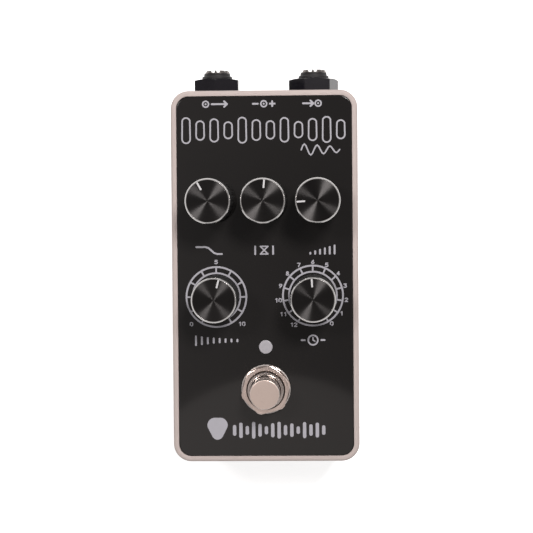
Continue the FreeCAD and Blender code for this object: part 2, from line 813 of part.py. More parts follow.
def make_jack(name, across, nut_turn):
    """A jack: a moulded body behind the wall, a threaded nose through it, and a metal ferrule in the nose."""
    place = {"x": across, "y": "wall_inside", "z": "jack_level", "lay": OUT_OF_WALL}
    nose, tip = "jack_nose / 2", "jack_nose_tip / 2"

    moulding = Piece(f"{name}_jack", **place)
    case = moulding.sketch("outline").rectangle("jack_width", "jack_height")
    moulding.pad("block", case, "jack_length", down=True)
    section = moulding.sketch("nose_section", UPRIGHT)
    taper, root = "nose_end - jack_nose_taper", "-cut_excess"
    section.outline([("0", root), (nose, root), (nose, taper), (tip, "nose_end"), ("0", "nose_end")])
    moulding.turned("nose", section)
    tunnel = moulding.sketch("tunnel_outline", lift="nose_end").circle("tunnel_radius")
    moulding.cut("tunnel", tunnel, "nose_end + jack_length - jack_back_wall")
    slot = moulding.sketch("slot_outline", SIDEWAYS, lift="-contact_width / 2 - contact_slot_gap")
    deep = "jack_length - jack_back_wall - contact_inset"
    wide = "contact_slot_gap"
    slot.outline(
        [
            ("0", f"-{deep} - {wide}"),
            (f"jack_height / 2 + {wide}", f"-{deep} - {wide}"),
            (f"jack_height / 2 + {wide}", f"-{deep} + contact_length + {wide}"),
            ("0", f"-{deep} + contact_length + {wide}"),
        ]
    )
    moulding.feature(
        "Pocket",
        "contact_slot",
        Profile=slot.item,
        Length="contact_width + 2 * contact_slot_gap",
        Reversed=True,
    )

    ferrule = Piece(f"{name}_ferrule", **place)
    inner = "plug_bore / 2"
    section = ferrule.sketch("section", UPRIGHT)
    section.outline(
        [
            (inner, "nose_end - ferrule_length"),
            ("ferrule_radius", "nose_end - ferrule_length"),
            ("ferrule_radius", "nose_end"),
            (tip, "nose_end"),
            (tip, "jack_tip"),
            (inner, "jack_tip"),
        ]
    )
    ferrule.turned("tube", section)

    contact = Piece(f"{name}_contact", **place)
    strip = contact.sketch("outline", SIDEWAYS, lift="-contact_width / 2")
    low = "tunnel_radius + contact_thickness"
    pin = "jack_height / 2 + board_thickness + pin_reach"
    strip.outline(
        [
            (low, f"-{deep}"),
            (pin, f"-{deep}"),
            (pin, f"-{deep} + contact_thickness"),
            (f"{low} + contact_thickness", f"-{deep} + contact_thickness"),
            (f"{low} + contact_thickness", f"-{deep} + contact_length"),
            (low, f"-{deep} + contact_length"),
        ]
    )
    contact.pad("strip", strip, "contact_width")

    thread = f"{nose} + thread_gap"
    outside = dict(place, y="wall_outside")
    ring(f"{name}_jack_washer", "jack_washer / 2", thread, "jack_washer_thickness", **outside)
    outside["y"] = "wall_outside + jack_washer_thickness"
    flats, height = "jack_nut_flats", "jack_nut_height"
    nut = hexagon_nut(f"{name}_jack_nut", flats, height, thread, nut_turn, **outside)
    turn_corners(nut, flats, height)


def make_power_socket():
    """The power socket: a block behind the wall with a round nose flush in it, and a centre pin."""
    place = {"y": "wall_inside", "z": "jack_level", "lay": OUT_OF_WALL}
    face = "box_wall - socket_sink"
    socket = Piece("power_socket", **place)
    half = "socket_width / 2"
    low, high = "jack_height / 2", "-socket_rise"
    corners = [(f"-{half}", high), (half, high), (half, low), (f"-{half}", low)]
    socket.pad("block", socket.sketch("outline").outline(corners), "socket_length", down=True)
    socket.pad("nose", socket.sketch("nose_outline").circle("socket_nose / 2"), face)
    bore = socket.sketch("bore_outline", lift=face).circle("socket_bore / 2")
    socket.cut("bore", bore, "socket_bore_depth")
    root = socket.sketch("root_outline", lift=face).circle("socket_pin_foot / 2 + thread_gap")
    socket.cut("pin_seat", root, "socket_bore_depth + socket_pin_root")

    pin = Piece("power_pin", **place)
    radius, foot, tip = "socket_pin / 2", "socket_pin_foot / 2", f"{face} - socket_pin_drop"
    floor = f"{face} - socket_bore_depth"
    bottom = f"{floor} - socket_pin_root"
    section = pin.sketch("section", UPRIGHT)
    section.outline(
        [
            ("0", bottom),
            (foot, bottom),
            (foot, floor),
            (radius, floor),
            (radius, tip),
            ("0", tip),
        ]
    )
    pin.turned("rod", section)


def make_boards():
    """The main board under the controls and the smaller board under the jacks, with what is soldered on."""
    main = Piece("main_board", z="board_under")
    outline = main.sketch("outline")
    outline.rectangle("board_width", "(board_back - board_front)", y="(board_front + board_back) / 2")
    main.pad("sheet", outline, "board_thickness")
    holes = main.sketch("pin_holes", lift="board_thickness")
    for across, along, _ in CONTROLS.values():
        for step in ("- control_pin_pitch", "", "+ control_pin_pitch"):
            place = (f"{across} {step}", f"box_middle + {along} - control_pin_row")
            holes.rectangle("(control_pin_width + pin_gap)", "(control_pin_thickness + pin_gap)", *place)
    for step in ("-lamp_leg_pitch / 2", "lamp_leg_pitch / 2"):
        hole = "(lamp_leg_width + pin_gap)"
        holes.rectangle(hole, hole, step, "box_middle + lamp_row")
    main.cut("pin_holes_cut", holes, "board_thickness + cut_excess")

    chips = []
    for name, kind, across in (
        ("delay_chip", "chip", "0"),
        ("left_chip", "small_chip", "-chip_spread"),
        ("right_chip", "small_chip", "chip_spread"),
    ):
        size = [f"{kind}_{way}" for way in ("width", "length", "height")]
        chips.append(block(name, *size, across, "box_middle + chip_row", f"board_under - {kind}_height"))
    group("board_chips", chips)

    capacitors = []
    for name, across in (("first", "-capacitor_pitch"), ("second", "0"), ("third", "capacitor_pitch")):
        size = [f"capacitor_{way}" for way in ("width", "length", "height")]
        middle = "box_middle + capacitor_row"
        capacitors.append(block(f"{name}_capacitor", *size, across, middle, "board_under - capacitor_height"))
    group("board_capacitors", capacitors)

    rear = Piece("jack_board", z="jack_board_under")
    outline = rear.sketch("outline")
    length = "(jack_length - board_gap)"
    outline.rectangle("board_width", length, y=f"wall_inside - board_gap - {length} / 2")
    rear.pad("sheet", outline, "board_thickness")
    holes = rear.sketch("contact_holes", lift="board_thickness")
    deep = "jack_length - jack_back_wall - contact_inset"
    for across, _ in JACKS.values():
        along = f"wall_inside - ({deep}) + contact_thickness / 2"
        holes.rectangle("(contact_width + pin_gap)", "(contact_thickness + pin_gap)", across, along)
    rear.cut("contact_holes_cut", holes, "board_thickness + cut_excess")


def make_ribbon(name, low_end, low, fold, high_end, way, back):
    """A flat ribbon: from a low level, up a fold and on in the same way, to the main board's underside."""
    piece = Piece(name)
    outline = piece.sketch("outline", SIDEWAYS, lift="-ribbon_width / 2")
    half, high = "ribbon_thickness / 2", "board_under - ribbon_thickness / 2"
    outline.outline(
        [
            (low_end, f"{low} + {half}"),
            (low_end, f"{low} - {half}"),
            (f"{fold} {way} {half}", f"{low} - {half}"),
            (f"{fold} {way} {half}", f"{high} - {half}"),
            (high_end, f"{high} - {half}"),
            (high_end, f"{high} + {half}"),
            (f"{fold} {back} {half}", f"{high} + {half}"),
            (f"{fold} {back} {half}", f"{low} + {half}"),
        ]
    )
    piece.pad("strip", outline, "ribbon_width")


def make_ribbons():
    """The ribbons that join the main board to the jack board and to the footswitch."""
    low = "jack_board_under - ribbon_thickness / 2"
    ends = ("board_back + ribbon_overlap", low, "board_back + board_gap / 2", "board_back - ribbon_overlap")
    make_ribbon("jack_ribbon", *ends, "-", "+")
    lug = "box_middle + switch_row + lug_pitch + lug_thickness / 2"
    low = "switch_under - lug_length / 2"
    ends = (lug, low, "board_front - board_gap / 2", "board_front + ribbon_overlap")
    make_ribbon("switch_ribbon", *ends, "+", "-")


def check_everything():
    """Stop with a plain message if any object failed or any sub-part is not a sound solid."""
    doc.recompute()
    for item in doc.Objects:
        if "Invalid" in item.State or "Error" in item.State:
            raise ValueError(f"{item.Label} did not build")
    for name, item in pieces.items():
        if item.Shape.isNull() or not item.Shape.isValid() or item.Shape.Volume < NEAR:
            raise ValueError(f"{name} has no sound shape")


def write_pieces():
    """Write each sub-part to its own file, and print what it holds."""
    os.makedirs("parts", exist_ok=True)
    for name, item in sorted(pieces.items()):
        item.Shape.exportStep(f"parts/{name}.step")
        print(f"{name}: {len(item.Shape.Solids)} solid(s), {item.Shape.Volume:.1f} cubic mm")
    print(f"{len(pieces)} sub-parts")


make_enclosure()
make_front_plate()
make_bottom_cover()
make_cover_screws()
make_rubber_feet()
make_controls()
make_lamp()
make_footswitch()
for jack, (across, nut_turn) in JACKS.items():
    make_jack(jack, across, nut_turn)
make_power_socket()
make_boards()
make_ribbons()
check_everything()
write_pieces()
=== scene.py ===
# %% [markdown]
# # A delay pedal, from bare solids to a studio picture
# The pedal is a small cast box with a glossy black plate let into its top, five turned knobs, a lens, a
# footswitch and two jacks on the far wall. Its solids are the frame here: every visible piece is modelled
# again in the same place with finer edges, and all of them get a real finish.
# Nothing is scaled by eye: the frame is in metres, and the sizes below are those of the solids, in mm.

import itertools
import math

import bmesh
import bpy
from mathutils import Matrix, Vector


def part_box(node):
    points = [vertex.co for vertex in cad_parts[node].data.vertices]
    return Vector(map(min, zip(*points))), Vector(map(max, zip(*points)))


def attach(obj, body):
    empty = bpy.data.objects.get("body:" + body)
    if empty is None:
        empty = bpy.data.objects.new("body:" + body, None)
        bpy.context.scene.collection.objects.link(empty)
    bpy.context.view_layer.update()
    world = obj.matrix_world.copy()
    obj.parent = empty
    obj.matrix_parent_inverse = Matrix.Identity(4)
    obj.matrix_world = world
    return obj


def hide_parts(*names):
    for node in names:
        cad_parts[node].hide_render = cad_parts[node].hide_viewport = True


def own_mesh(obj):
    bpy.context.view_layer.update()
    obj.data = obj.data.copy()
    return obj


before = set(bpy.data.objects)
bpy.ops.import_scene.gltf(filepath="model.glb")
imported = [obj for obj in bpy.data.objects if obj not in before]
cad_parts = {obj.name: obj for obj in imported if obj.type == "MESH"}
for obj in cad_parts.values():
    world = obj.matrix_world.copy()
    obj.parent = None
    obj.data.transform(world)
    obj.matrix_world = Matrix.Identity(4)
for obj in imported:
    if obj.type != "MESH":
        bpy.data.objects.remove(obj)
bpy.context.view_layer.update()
mm = 0.001

# %% [markdown]
# ## A bench to work at
# Each operator acts on whatever is selected, and the solids come in selected. So every step first clears the
# bench, and then takes the piece that it works on. A mesh could also be written as lists of points, but then
# the steps couldn't be followed with the mouse.

# %% Clear the bench, take a piece and open it
def clear_bench():
    """Leaves edit mode with nothing selected."""
    if bpy.context.mode != "OBJECT":
        bpy.ops.object.mode_set(mode="OBJECT")
    bpy.ops.object.select_all(action="DESELECT")


def take(*pieces):
    """Selects these pieces and no others, and makes the first one active."""
    clear_bench()
    for piece in pieces:
        piece.select_set(True)
    bpy.context.view_layer.objects.active = pieces[0]
    return pieces[0]


def open_up(piece):
    """Goes into edit mode on one piece with nothing selected."""
    take(piece)
    bpy.ops.object.mode_set(mode="EDIT")
    bpy.ops.mesh.select_all(action="DESELECT")


# %% [markdown]
# ### Picking by place
# In an opened piece, faces, edges or points are picked by where they are and which way they look, as a hand
# would with the mouse. Picking them by number would be shorter, but the numbers change with every cut.

# %% Pick faces, edges or points
def pick(kind, test):
    """Selects the faces, edges or points that pass a test of their middle in mm and of their direction."""
    bpy.ops.mesh.select_mode(type=kind)
    bpy.ops.mesh.select_all(action="DESELECT")
    mesh = bpy.context.object.data
    shape = bmesh.from_edit_mesh(mesh)
    if kind == "FACE":
        found = [face for face in shape.faces if test(face.calc_center_median() / mm, face.normal)]
    elif kind == "EDGE":
        ends = [(edge, edge.verts[0].co, edge.verts[1].co) for edge in shape.edges]
        found = [edge for edge, a, b in ends if test((a + b) / (2 * mm), (b - a).normalized())]
    else:
        found = [point for point in shape.verts if test(point.co / mm, point.normal)]
    for item in found:
        item.select_set(True)
    shape.select_flush_mode()
    bmesh.update_edit_mesh(mesh)
    return len(found)


# %% [markdown]
# ### Moves that come back
# A few things happen to nearly every piece: a face is pulled out, some edges are rounded, points that touch
# are merged, and the faces are turned outwards. One bevel over a whole piece would be quicker, but the edges
# of a real part have radii of their own, so they are rounded group by group.

# %% Pull, round, merge and turn outwards
TOUCHING = 0.002 * mm


def extrude(height):
    """Pulls what is selected up by so many mm."""
    bpy.ops.mesh.extrude_region_move(TRANSFORM_OT_translate={"value": (0, 0, height * mm)})


def upright(middle, way):
    """A test for the edges that stand up."""
    return abs(way.z) > 0.9


def round_edges(piece, radius, segments, test):
    """Rounds the edges of a piece that pass a test, and counts them."""
    open_up(piece)
    count = pick("EDGE", test)
    bpy.ops.mesh.bevel(offset=radius * mm, segments=segments, affect="EDGES")
    clear_bench()
    return count


def merge_points():
    """Merges the points of the opened piece that lie on each other."""
    bpy.ops.mesh.select_all(action="SELECT")
    bpy.ops.mesh.remove_doubles(threshold=TOUCHING)


def face_outwards():
    """Turns all faces of the opened piece outwards, and leaves edit mode."""
    bpy.ops.mesh.select_all(action="SELECT")
    bpy.ops.mesh.normals_make_consistent(inside=False)
    clear_bench()


# %% [markdown]
# ### Settling, copying and joining
# A finished piece has to sit at the origin, unturned, so its place is always written into its mesh. What
# repeats is modelled once and copied. Copies could share one mesh, but then they couldn't have places of
# their own in it, so each one gets its own.

# %% Place, copy and join pieces
def place(piece, move=(0, 0, 0), turn=(0, 0, 0)):
    """Turns a piece, moves it, and writes its place into its mesh."""
    take(piece)
    piece.rotation_euler = [math.radians(angle) for angle in turn]
    piece.location = [v * mm for v in move]
    bpy.ops.object.transform_apply(location=True, rotation=True, scale=True)
    return piece


def copy_of(piece, name):
    """Makes a second piece with a mesh of its own."""
    twin = piece.copy()
    twin.data = piece.data.copy()
    twin.name = twin.data.name = name
    bpy.context.collection.objects.link(twin)
    return twin


def joined(name, pieces):
    """Joins several pieces into one."""
    whole = take(*pieces)
    if len(pieces) > 1:
        bpy.ops.object.join()
    whole.name = whole.data.name = name
    return whole


# %% [markdown]
# ### A lathe
# A round piece could be spun from a half outline, but a lathe is easier to follow: a circle is pulled up and
# scaled, step by step, along a list of (radius, height). A closed profile comes back to its start and gives a
# ring. An open one is filled at both ends.

# %% Turn a round piece
def turned(name, profile, sides=96, closed=False):
    """Turns a round piece about the Z axis along a profile of (radius, height) in mm."""
    clear_bench()
    radius, height = profile[0]
    bpy.ops.mesh.primitive_circle_add(vertices=sides, radius=radius * mm, location=(0, 0, height * mm))
    piece = place(bpy.context.object, (0, 0, height))
    piece.name = piece.data.name = name
    bpy.ops.object.mode_set(mode="EDIT")
    bpy.ops.mesh.select_mode(type="VERT")
    bpy.ops.mesh.select_all(action="SELECT")
    for wider, higher in profile[1:] + (profile[:1] if closed else []):
        extrude(higher - height)
        ratio = wider / radius
        bpy.ops.transform.resize(value=(ratio, ratio, 1), center_override=(0, 0, higher * mm))
        radius, height = wider, higher
    merge_points()
    if not closed:
        bpy.ops.mesh.fill_holes(sides=0)
    face_outwards()
    return piece


# %% [markdown]
# ### A saw and a drill
# Holes are cut as in a workshop, with a tool of the hole's own shape, by a Boolean modifier. They could be
# left out of the faces from the start, but then each face would have to be drawn round them. A cut leaves
# slivers where two faces nearly meet, so the piece is swept afterwards.

# %% Saw, drill and add
def block(name, size, middle):
    """Adds a plain block to be worked on, from its size and middle in mm."""
    clear_bench()
    bpy.ops.mesh.primitive_cube_add(size=1, location=(0, 0, 0))
    piece = bpy.context.object
    piece.scale = [v * mm for v in size]
    piece.name = piece.data.name = name
    return place(piece, middle)


def drills(holes, sides=64):
    """Makes one tool from many round drills, each (radius, x, y, lowest, highest) in mm."""
    rods = []
    for radius, x, y, low, high in holes:
        clear_bench()
        bpy.ops.mesh.primitive_cylinder_add(vertices=sides, radius=radius * mm, depth=(high - low) * mm)
        rods.append(place(bpy.context.object, (x, y, (low + high) / 2)))
    return joined("drills", rods)


def swept(piece):
    """Merges points that touch, and drops edges and faces without size."""
    open_up(piece)
    merge_points()
    bpy.ops.mesh.dissolve_degenerate(threshold=TOUCHING)
    clear_bench()
    return piece


def combine(piece, tool, operation="DIFFERENCE"):
    """Cuts a piece with a tool, adds the tool to it or keeps what both share, and throws the tool away."""
    take(piece)
    modifier = piece.modifiers.new("tool", "BOOLEAN")
    modifier.operation, modifier.solver, modifier.object = operation, "EXACT", tool
    bpy.ops.object.modifier_apply(modifier=modifier.name)
    bpy.data.objects.remove(tool)
    return swept(piece)


# %% [markdown]
# ## Nodes as arithmetic
# A finish is easier to read as sums than as a web of nodes. One small class wraps a socket: adding or
# multiplying two of them adds a Math node, and `make` adds any other node with its settings and sockets.

# %% Shader arithmetic
class Wire:
    """One value in a material's nodes, or the empty bench of a new material."""

    def __init__(self, tree, socket=None):
        self.tree, self.socket = tree, socket

    def make(self, kind, settings=None, sockets=None, output=0):
        """Adds a node: its settings first, then the values or wires of its sockets."""
        node = self.tree.nodes.new(kind)
        for name, value in (settings or {}).items():
            setattr(node, name, value)
        for name, value in (sockets or {}).items():
            if isinstance(value, Wire):
                self.tree.links.new(value.socket, node.inputs[name])
            else:
                node.inputs[name].default_value = value
        return Wire(self.tree, node.outputs[output] if node.outputs else None)

    def maths(self, operation, first, second):
        """Adds one Math node."""
        return self.make("ShaderNodeMath", {"operation": operation}, {0: first, 1: second})

    def __add__(self, other):
        return self.maths("ADD", self, other)

    def __sub__(self, other):
        return self.maths("SUBTRACT", self, other)

    def __rsub__(self, other):
        return self.maths("SUBTRACT", other, self)

    def __mul__(self, other):
        return self.maths("MULTIPLY", self, other)

    __radd__ = __add__
    __rmul__ = __mul__


# %% [markdown]
# ### The start and the end of a finish
# A new material brings nodes of its own, which are cleared, so that it holds only what is written here. Its
# patterns read Object coordinates, because these need no map and stay with the piece when it moves. Nearly
# every finish ends in one Principled shader, which covers metal, paint and plastic alike.

# %% Start and end a finish
def new_finish(name):
    """Starts a material: returns it, its empty bench and the place on the piece."""
    finish = bpy.data.materials.new(name)
    finish.use_nodes = True
    finish.node_tree.nodes.clear()
    bench = Wire(finish.node_tree)
    return finish, bench, bench.make("ShaderNodeTexCoord", output="Object")


def coated(finish, bench, sockets):
    """Ends a material in one Principled shader."""
    shader = bench.make("ShaderNodeBsdfPrincipled", None, sockets)
    bench.make("ShaderNodeOutputMaterial", None, {"Surface": shader})
    return finish


# %% [markdown]
# ### Patterns that several finishes share
# Real surfaces are never quite even, so every finish starts from soft random grain of a size in mm. The
# grain then shifts a colour or a roughness a little, or becomes a bump of a depth in mm. Painted pictures
# could do that too, but noise has no edges or seams, and it stays sharp however near one comes.

# %% Grain, steps, blends and bumps
def grain(where, size, detail=3.0, roughness=0.55):
    """Soft random grain about so many mm across, from 0 to 1."""
    sockets = {"Vector": where, "Scale": 1 / (size * mm), "Detail": detail, "Roughness": roughness}
    return where.make("ShaderNodeTexNoise", None, sockets, "Fac")


def between(low, high, share):
    """Maps a 0 to 1 share on a range of numbers."""
    return share * (high - low) + low


def step(share, low, high):
    """Turns a value into a mask that rises from 0 to 1 between two levels."""
    settings = {"interpolation_type": "SMOOTHSTEP"}
    return share.make("ShaderNodeMapRange", settings, {"Value": share, "From Min": low, "From Max": high})


def blend(share, first, second):
    """Mixes two colours, each given by its three numbers or by a wire."""
    first, second = [c if isinstance(c, Wire) else (*c, 1) for c in (first, second)]
    return share.make("ShaderNodeMix", {"data_type": "RGBA"}, {0: share, 6: first, 7: second}, 2)


def relief(height, depth, strength=1.0):
    """A bump whose full height is so many mm."""
    sockets = {"Height": height, "Strength": strength, "Distance": depth * mm}
    return height.make("ShaderNodeBump", None, sockets)


# %% [markdown]
# ## The metal finishes
# The box is bead-blasted and lacquered, so it is a soft warm silver without a clear reflection. Nuts, edges
# and ferrules are plated or cut, nearly mirrors with faint wiping marks. An even colour and roughness would
# be simpler, but metal without any mark looks drawn, so both shift a little.

# %% Mix the blasted and the plated metals
def blasted_silver():
    finish, bench, where = new_finish("blasted_silver")
    beads = grain(where, 0.16, 2.0)
    sockets = {
        "Base Color": blend(grain(where, 14), (0.437, 0.373, 0.353), (0.487, 0.413, 0.393)),
        "Metallic": 0.12,
        "Roughness": between(0.54, 0.68, beads),
        "Normal": relief(beads, 0.02, 0.5),
    }
    return coated(finish, bench, sockets)


def polished(name, low, high, rough, rough_range=0.09, metallic=1.0):
    """Plated or cut metal between two colours."""
    finish, bench, where = new_finish(name)
    wiped = grain(where, 2.2, 5.0, 0.65)
    sockets = {
        "Base Color": blend(wiped, low, high),
        "Metallic": metallic,
        "Roughness": between(rough, rough + rough_range, wiped),
        "Normal": relief(grain(where, 0.12, 2.0), 0.002, 0.4),
    }
    return coated(finish, bench, sockets)


silver = blasted_silver()
nickel = polished("bright_nickel", (0.80, 0.66, 0.60), (0.86, 0.72, 0.66), 0.13, metallic=0.84)
crown_metal = polished("crown_nickel", (0.66, 0.59, 0.56), (0.72, 0.65, 0.62), 0.13, metallic=0.88)
# The bushing is nickel like the crown; its dark colour is painted shade for the gap between nut and crown.
bushing_painted_shade = polished("bushing_painted_shade_metal", (0.14, 0.12, 0.11), (0.22, 0.19, 0.17), 0.32, 0.15, 0.9)
cut_edge = polished("diamond_cut_edge", (0.50, 0.48, 0.47), (0.60, 0.58, 0.57), 0.16)
chrome = polished("dark_chrome", (0.12, 0.11, 0.105), (0.20, 0.18, 0.17), 0.22)
zinc = polished("zinc_screw", (0.50, 0.51, 0.52), (0.66, 0.67, 0.68), 0.24)
print("metals:", [metal.name for metal in (silver, nickel, crown_metal, bushing_painted_shade, cut_edge, chrome, zinc)])

# %% [markdown]
# ### Metal with turning marks
# A knob's face is black anodised metal that was turned on a lathe: its fine grooves smear each lamp into a
# bright spoke. Spokes could be painted on, but anisotropy makes them from the lamps, so they stay right when
# the knob turns.

# %% Mix the spun black
def spun_black():
    finish, bench, where = new_finish("spun_black")
    map_of_face = bench.make("ShaderNodeTexCoord", output="UV")
    rings = {"wave_type": "RINGS", "rings_direction": "Z", "wave_profile": "SIN"}
    spacing = {"Vector": map_of_face, "Scale": 14.0, "Distortion": 0.15, "Detail": 1.0}
    grooves = bench.make("ShaderNodeTexWave", rings, spacing, "Fac")
    cuts = grooves * 0.6 + grain(where, 3.0, 2.0) * 0.4
    sockets = {
        "Base Color": blend(cuts, (0.042, 0.040, 0.040), (0.061, 0.059, 0.059)),
        "Metallic": 1.0,
        "Roughness": 0.28,
        "Anisotropic": 0.99,
        "Anisotropic Rotation": 0.25,
        "Normal": relief(grooves, 0.0012, 0.25),
    }
    return coated(finish, bench, sockets)


face_black = spun_black()
print("spun metal:", face_black.name)

# %% [markdown]
# ## Paint, plastic and rubber
# The plate is black gloss paint. Dust and wiping barely change its colour, so they show in the roughness, as
# they do when a real plate is held to the light. The rest is moulded or printed: a slight change of shade and
# a fine tooth are enough, and one function with a few numbers gives them all.

# %% Mix the coats
def black_gloss():
    finish, bench, where = new_finish("black_gloss")
    dust = step(grain(where, 0.22, 4.0, 0.7), 0.66, 0.80)
    sockets = {
        "Base Color": blend(dust, (0.0120, 0.0110, 0.0108), (0.020, 0.019, 0.019)),
        "Roughness": between(0.03, 0.07, grain(where, 18, 4.0)) + dust * 0.10,
        "Normal": relief(grain(where, 1.6, 2.0), 0.002, 0.25),
    }
    return coated(finish, bench, sockets)


def plain_coat(name, low, high, rough, tooth=0.3, depth=0.01, rough_range=0.12, metallic=0.0, shine=0.5):
    """Moulded or painted stuff between two colours, with a tooth of a size and a depth in mm."""
    finish, bench, where = new_finish(name)
    fine = grain(where, tooth)
    sockets = {
        "Base Color": blend(grain(where, tooth * 18), low, high),
        "Metallic": metallic,
        "Roughness": between(rough, rough + rough_range, fine),
        "Specular IOR Level": shine,
        "Normal": relief(fine, depth, 0.5),
    }
    return coated(finish, bench, sockets)


gloss = black_gloss()
ink = plain_coat("screen_ink", (0.34, 0.33, 0.36), (0.38, 0.37, 0.41), 0.42, 0.2, 0.004)
pointer_paint = plain_coat("pointer_paint", (0.50, 0.49, 0.50), (0.56, 0.55, 0.56), 0.40, 0.1, 0.003)
knob_plastic = plain_coat(
    "knob_plastic", (0.034, 0.033, 0.033), (0.041, 0.040, 0.040), 0.58, 0.25, 0.006, shine=0.03
)
jack_plastic = plain_coat(
    "jack_plastic", (0.006, 0.0055, 0.008), (0.011, 0.010, 0.013), 0.11, 0.3, 0.006, 0.06, shine=0.4
)
nose_plastic = plain_coat(
    "nose_plastic", (0.010, 0.009, 0.010), (0.018, 0.016, 0.017), 0.46, 0.3, 0.008, shine=0.3
)
rubber = plain_coat("rubber", (0.010, 0.010, 0.010), (0.022, 0.021, 0.020), 0.72, 0.4, 0.03)
lens_milk = plain_coat("milky_lens", (0.345, 0.33, 0.355), (0.385, 0.37, 0.395), 0.30, 0.5, 0.002, 0.06)
coats = (gloss, ink, pointer_paint, knob_plastic, jack_plastic, nose_plastic, rubber, lens_milk)
print("coats:", [coat.name for coat in coats])

# %% [markdown]
# ## The finishes inside
# Inside the box are boards, chips, capacitors, springs and contacts. They are seen only when the cover is
# off, but they keep their own look: green lacquer over copper tracks, moulded chips, brass, zinc and grey
# ribbon. Tracks and wires repeat evenly, so a cell pattern and a wave draw them without a single edge.

# %% Mix the board and the ribbon
def board_lacquer():
    finish, bench, where = new_finish("board_lacquer")
    cells = {"Vector": where, "Scale": 1 / (2.4 * mm), "Randomness": 0.0}
    tracks = bench.make("ShaderNodeTexVoronoi", {"distance": "CHEBYCHEV", "feature": "F1"}, cells, "Distance")
    track = step(tracks, 0.40, 0.44)
    sockets = {
        "Base Color": blend(track, (0.010, 0.075, 0.030), (0.020, 0.135, 0.055)),
        "Roughness": between(0.24, 0.36, grain(where, 1.0)),
        "Normal": relief(track, 0.03, 0.6),
    }
    return coated(finish, bench, sockets)


def ribbon_wires():
    finish, bench, where = new_finish("ribbon_wires")
    wires = {"Vector": where, "Scale": 0.25 / mm, "Distortion": 0.0}
    strand = bench.make("ShaderNodeTexWave", {"bands_direction": "X"}, wires, "Fac")
    sockets = {
        "Base Color": blend(strand, (0.16, 0.16, 0.17), (0.42, 0.42, 0.43)),
        "Roughness": between(0.42, 0.55, strand),
        "Normal": relief(strand, 0.12, 0.6),
    }
    return coated(finish, bench, sockets)


lacquer, ribbon = board_lacquer(), ribbon_wires()
print("inside:", lacquer.name, ribbon.name)

# %% [markdown]
# ### A finish for every slot
# The record gives each solid a slot, which says what it is made of. The finishes could be handed over piece
# by piece, but one table keeps pieces of the same slot alike, and only a few have a finish of their own.

# %% Name a finish for each slot
FINISH_OF_SLOT = {
    "board": lacquer,
    "ribbon": ribbon,
    "chip_black": plain_coat("chip_epoxy", (0.014, 0.014, 0.015), (0.026, 0.026, 0.028), 0.50, 0.2, 0.02),
    "film_case": plain_coat("film_capacitor", (0.36, 0.045, 0.020), (0.44, 0.060, 0.028), 0.32, 0.4),
    "control_case": plain_coat(
        "control_case", (0.42, 0.42, 0.43), (0.55, 0.55, 0.56), 0.30, 0.5, 0.01, 0.1, 1.0
    ),
    "copper_alloy": polished("phosphor_bronze", (0.62, 0.40, 0.20), (0.72, 0.50, 0.28), 0.22),
    "spring_steel": polished("spring_steel", (0.38, 0.38, 0.40), (0.48, 0.48, 0.50), 0.20),
    "shaft_metal": polished("shaft_metal", (0.62, 0.61, 0.58), (0.72, 0.71, 0.68), 0.24),
    "box_metal": silver,
    "cover_metal": silver,
    "plate_gloss": gloss,
    "knob_black": knob_plastic,
    "jack_plastic": jack_plastic,
    "nickel": nickel,
    "zinc": zinc,
    "rubber": rubber,
    "lens": lens_milk,
}
print("slots:", sorted(FINISH_OF_SLOT))

# %% [markdown]
# ## Fit a piece
# A finished piece is shaded smooth across small angles and sharp across large ones. Weighted normals keep its
# flats flat beside a rounded edge, which would otherwise take many more faces. Then the piece rides on the
# body that carries it, takes the finish of its slot unless it brings one of its own, and hides the solid that
# it stands for.

# %% Fit a piece
def fit(piece, body, slot, replaces=(), finish=None, smooth=32):
    """Shades a piece, gives it its slot's finish or one of its own, and hangs it on its body."""
    take(piece)
    bpy.ops.object.shade_smooth_by_angle(angle=math.radians(smooth))
    modifier = piece.modifiers.new("flats_stay_flat", "WEIGHTED_NORMAL")
    modifier.keep_sharp = True
    bpy.ops.object.modifier_apply(modifier=modifier.name)
    piece.data.materials.clear()
    piece.data.materials.append(finish or FINISH_OF_SLOT[slot])
    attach(piece, body)
    if replaces:
        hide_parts(*replaces)
    size = [round(length / mm, 2) for length in piece.dimensions]
    print(f"{piece.name}: {len(piece.data.polygons)} faces, {size} mm")
    return piece


# %% [markdown]
# ## Places on the pedal
# Pieces share their places: a control's hole in the box lies under one in the plate, with a knob over both.
# Each place could be read from its solid, but short lists in mm are easier to work with, so the places are
# named once and every piece uses them.

# %% Name the places and levels
BOX_MIDDLE, BOX_WIDTH, BOX_LENGTH, BOX_CORNER = -3.75, 58.5, 116.5, 5.6
BOX_LOW, BOX_TOP, ROOF_UNDER, PLATE_SEAT, PLATE_TOP = 4.5, 35.0, 31.5, 33.5, 34.95
CONTROLS = {
    "tone": (-16.6, 19.95),
    "age": (0.0, 19.95),
    "level": (16.6, 19.95),
    "repeats": (-15.0, -10.05),
    "time": (15.0, -10.05),
}
SWITCH_Y, LENS_Y = -39.15, -25.95
JACKS, JACK_LEVEL = {"output": -15.6, "input": 15.6}, 19.95
CORNERS = [(side, end) for side in (-1, 1) for end in (-1, 1)]
SCREWS = [(side * 23.65, BOX_MIDDLE + end * 52.65) for side, end in CORNERS]
print("box:", BOX_WIDTH, "x", BOX_LENGTH, "mm, screws at:", SCREWS)

# %% [markdown]
# ## The cast box
# The real box is cast in one go: walls of 2 mm, a roof, round posts for the screws, and a shallow seat in its
# top where the plate lies. It could be built from walls, but then its corners would have seams. So one block
# gives all of it: its upright edges are rounded, its top is inset and pushed down to make the seat, and its
# underside is inset and pushed up to hollow it.

# %% Model the box
RIM, WALL = 1.75, 2.0


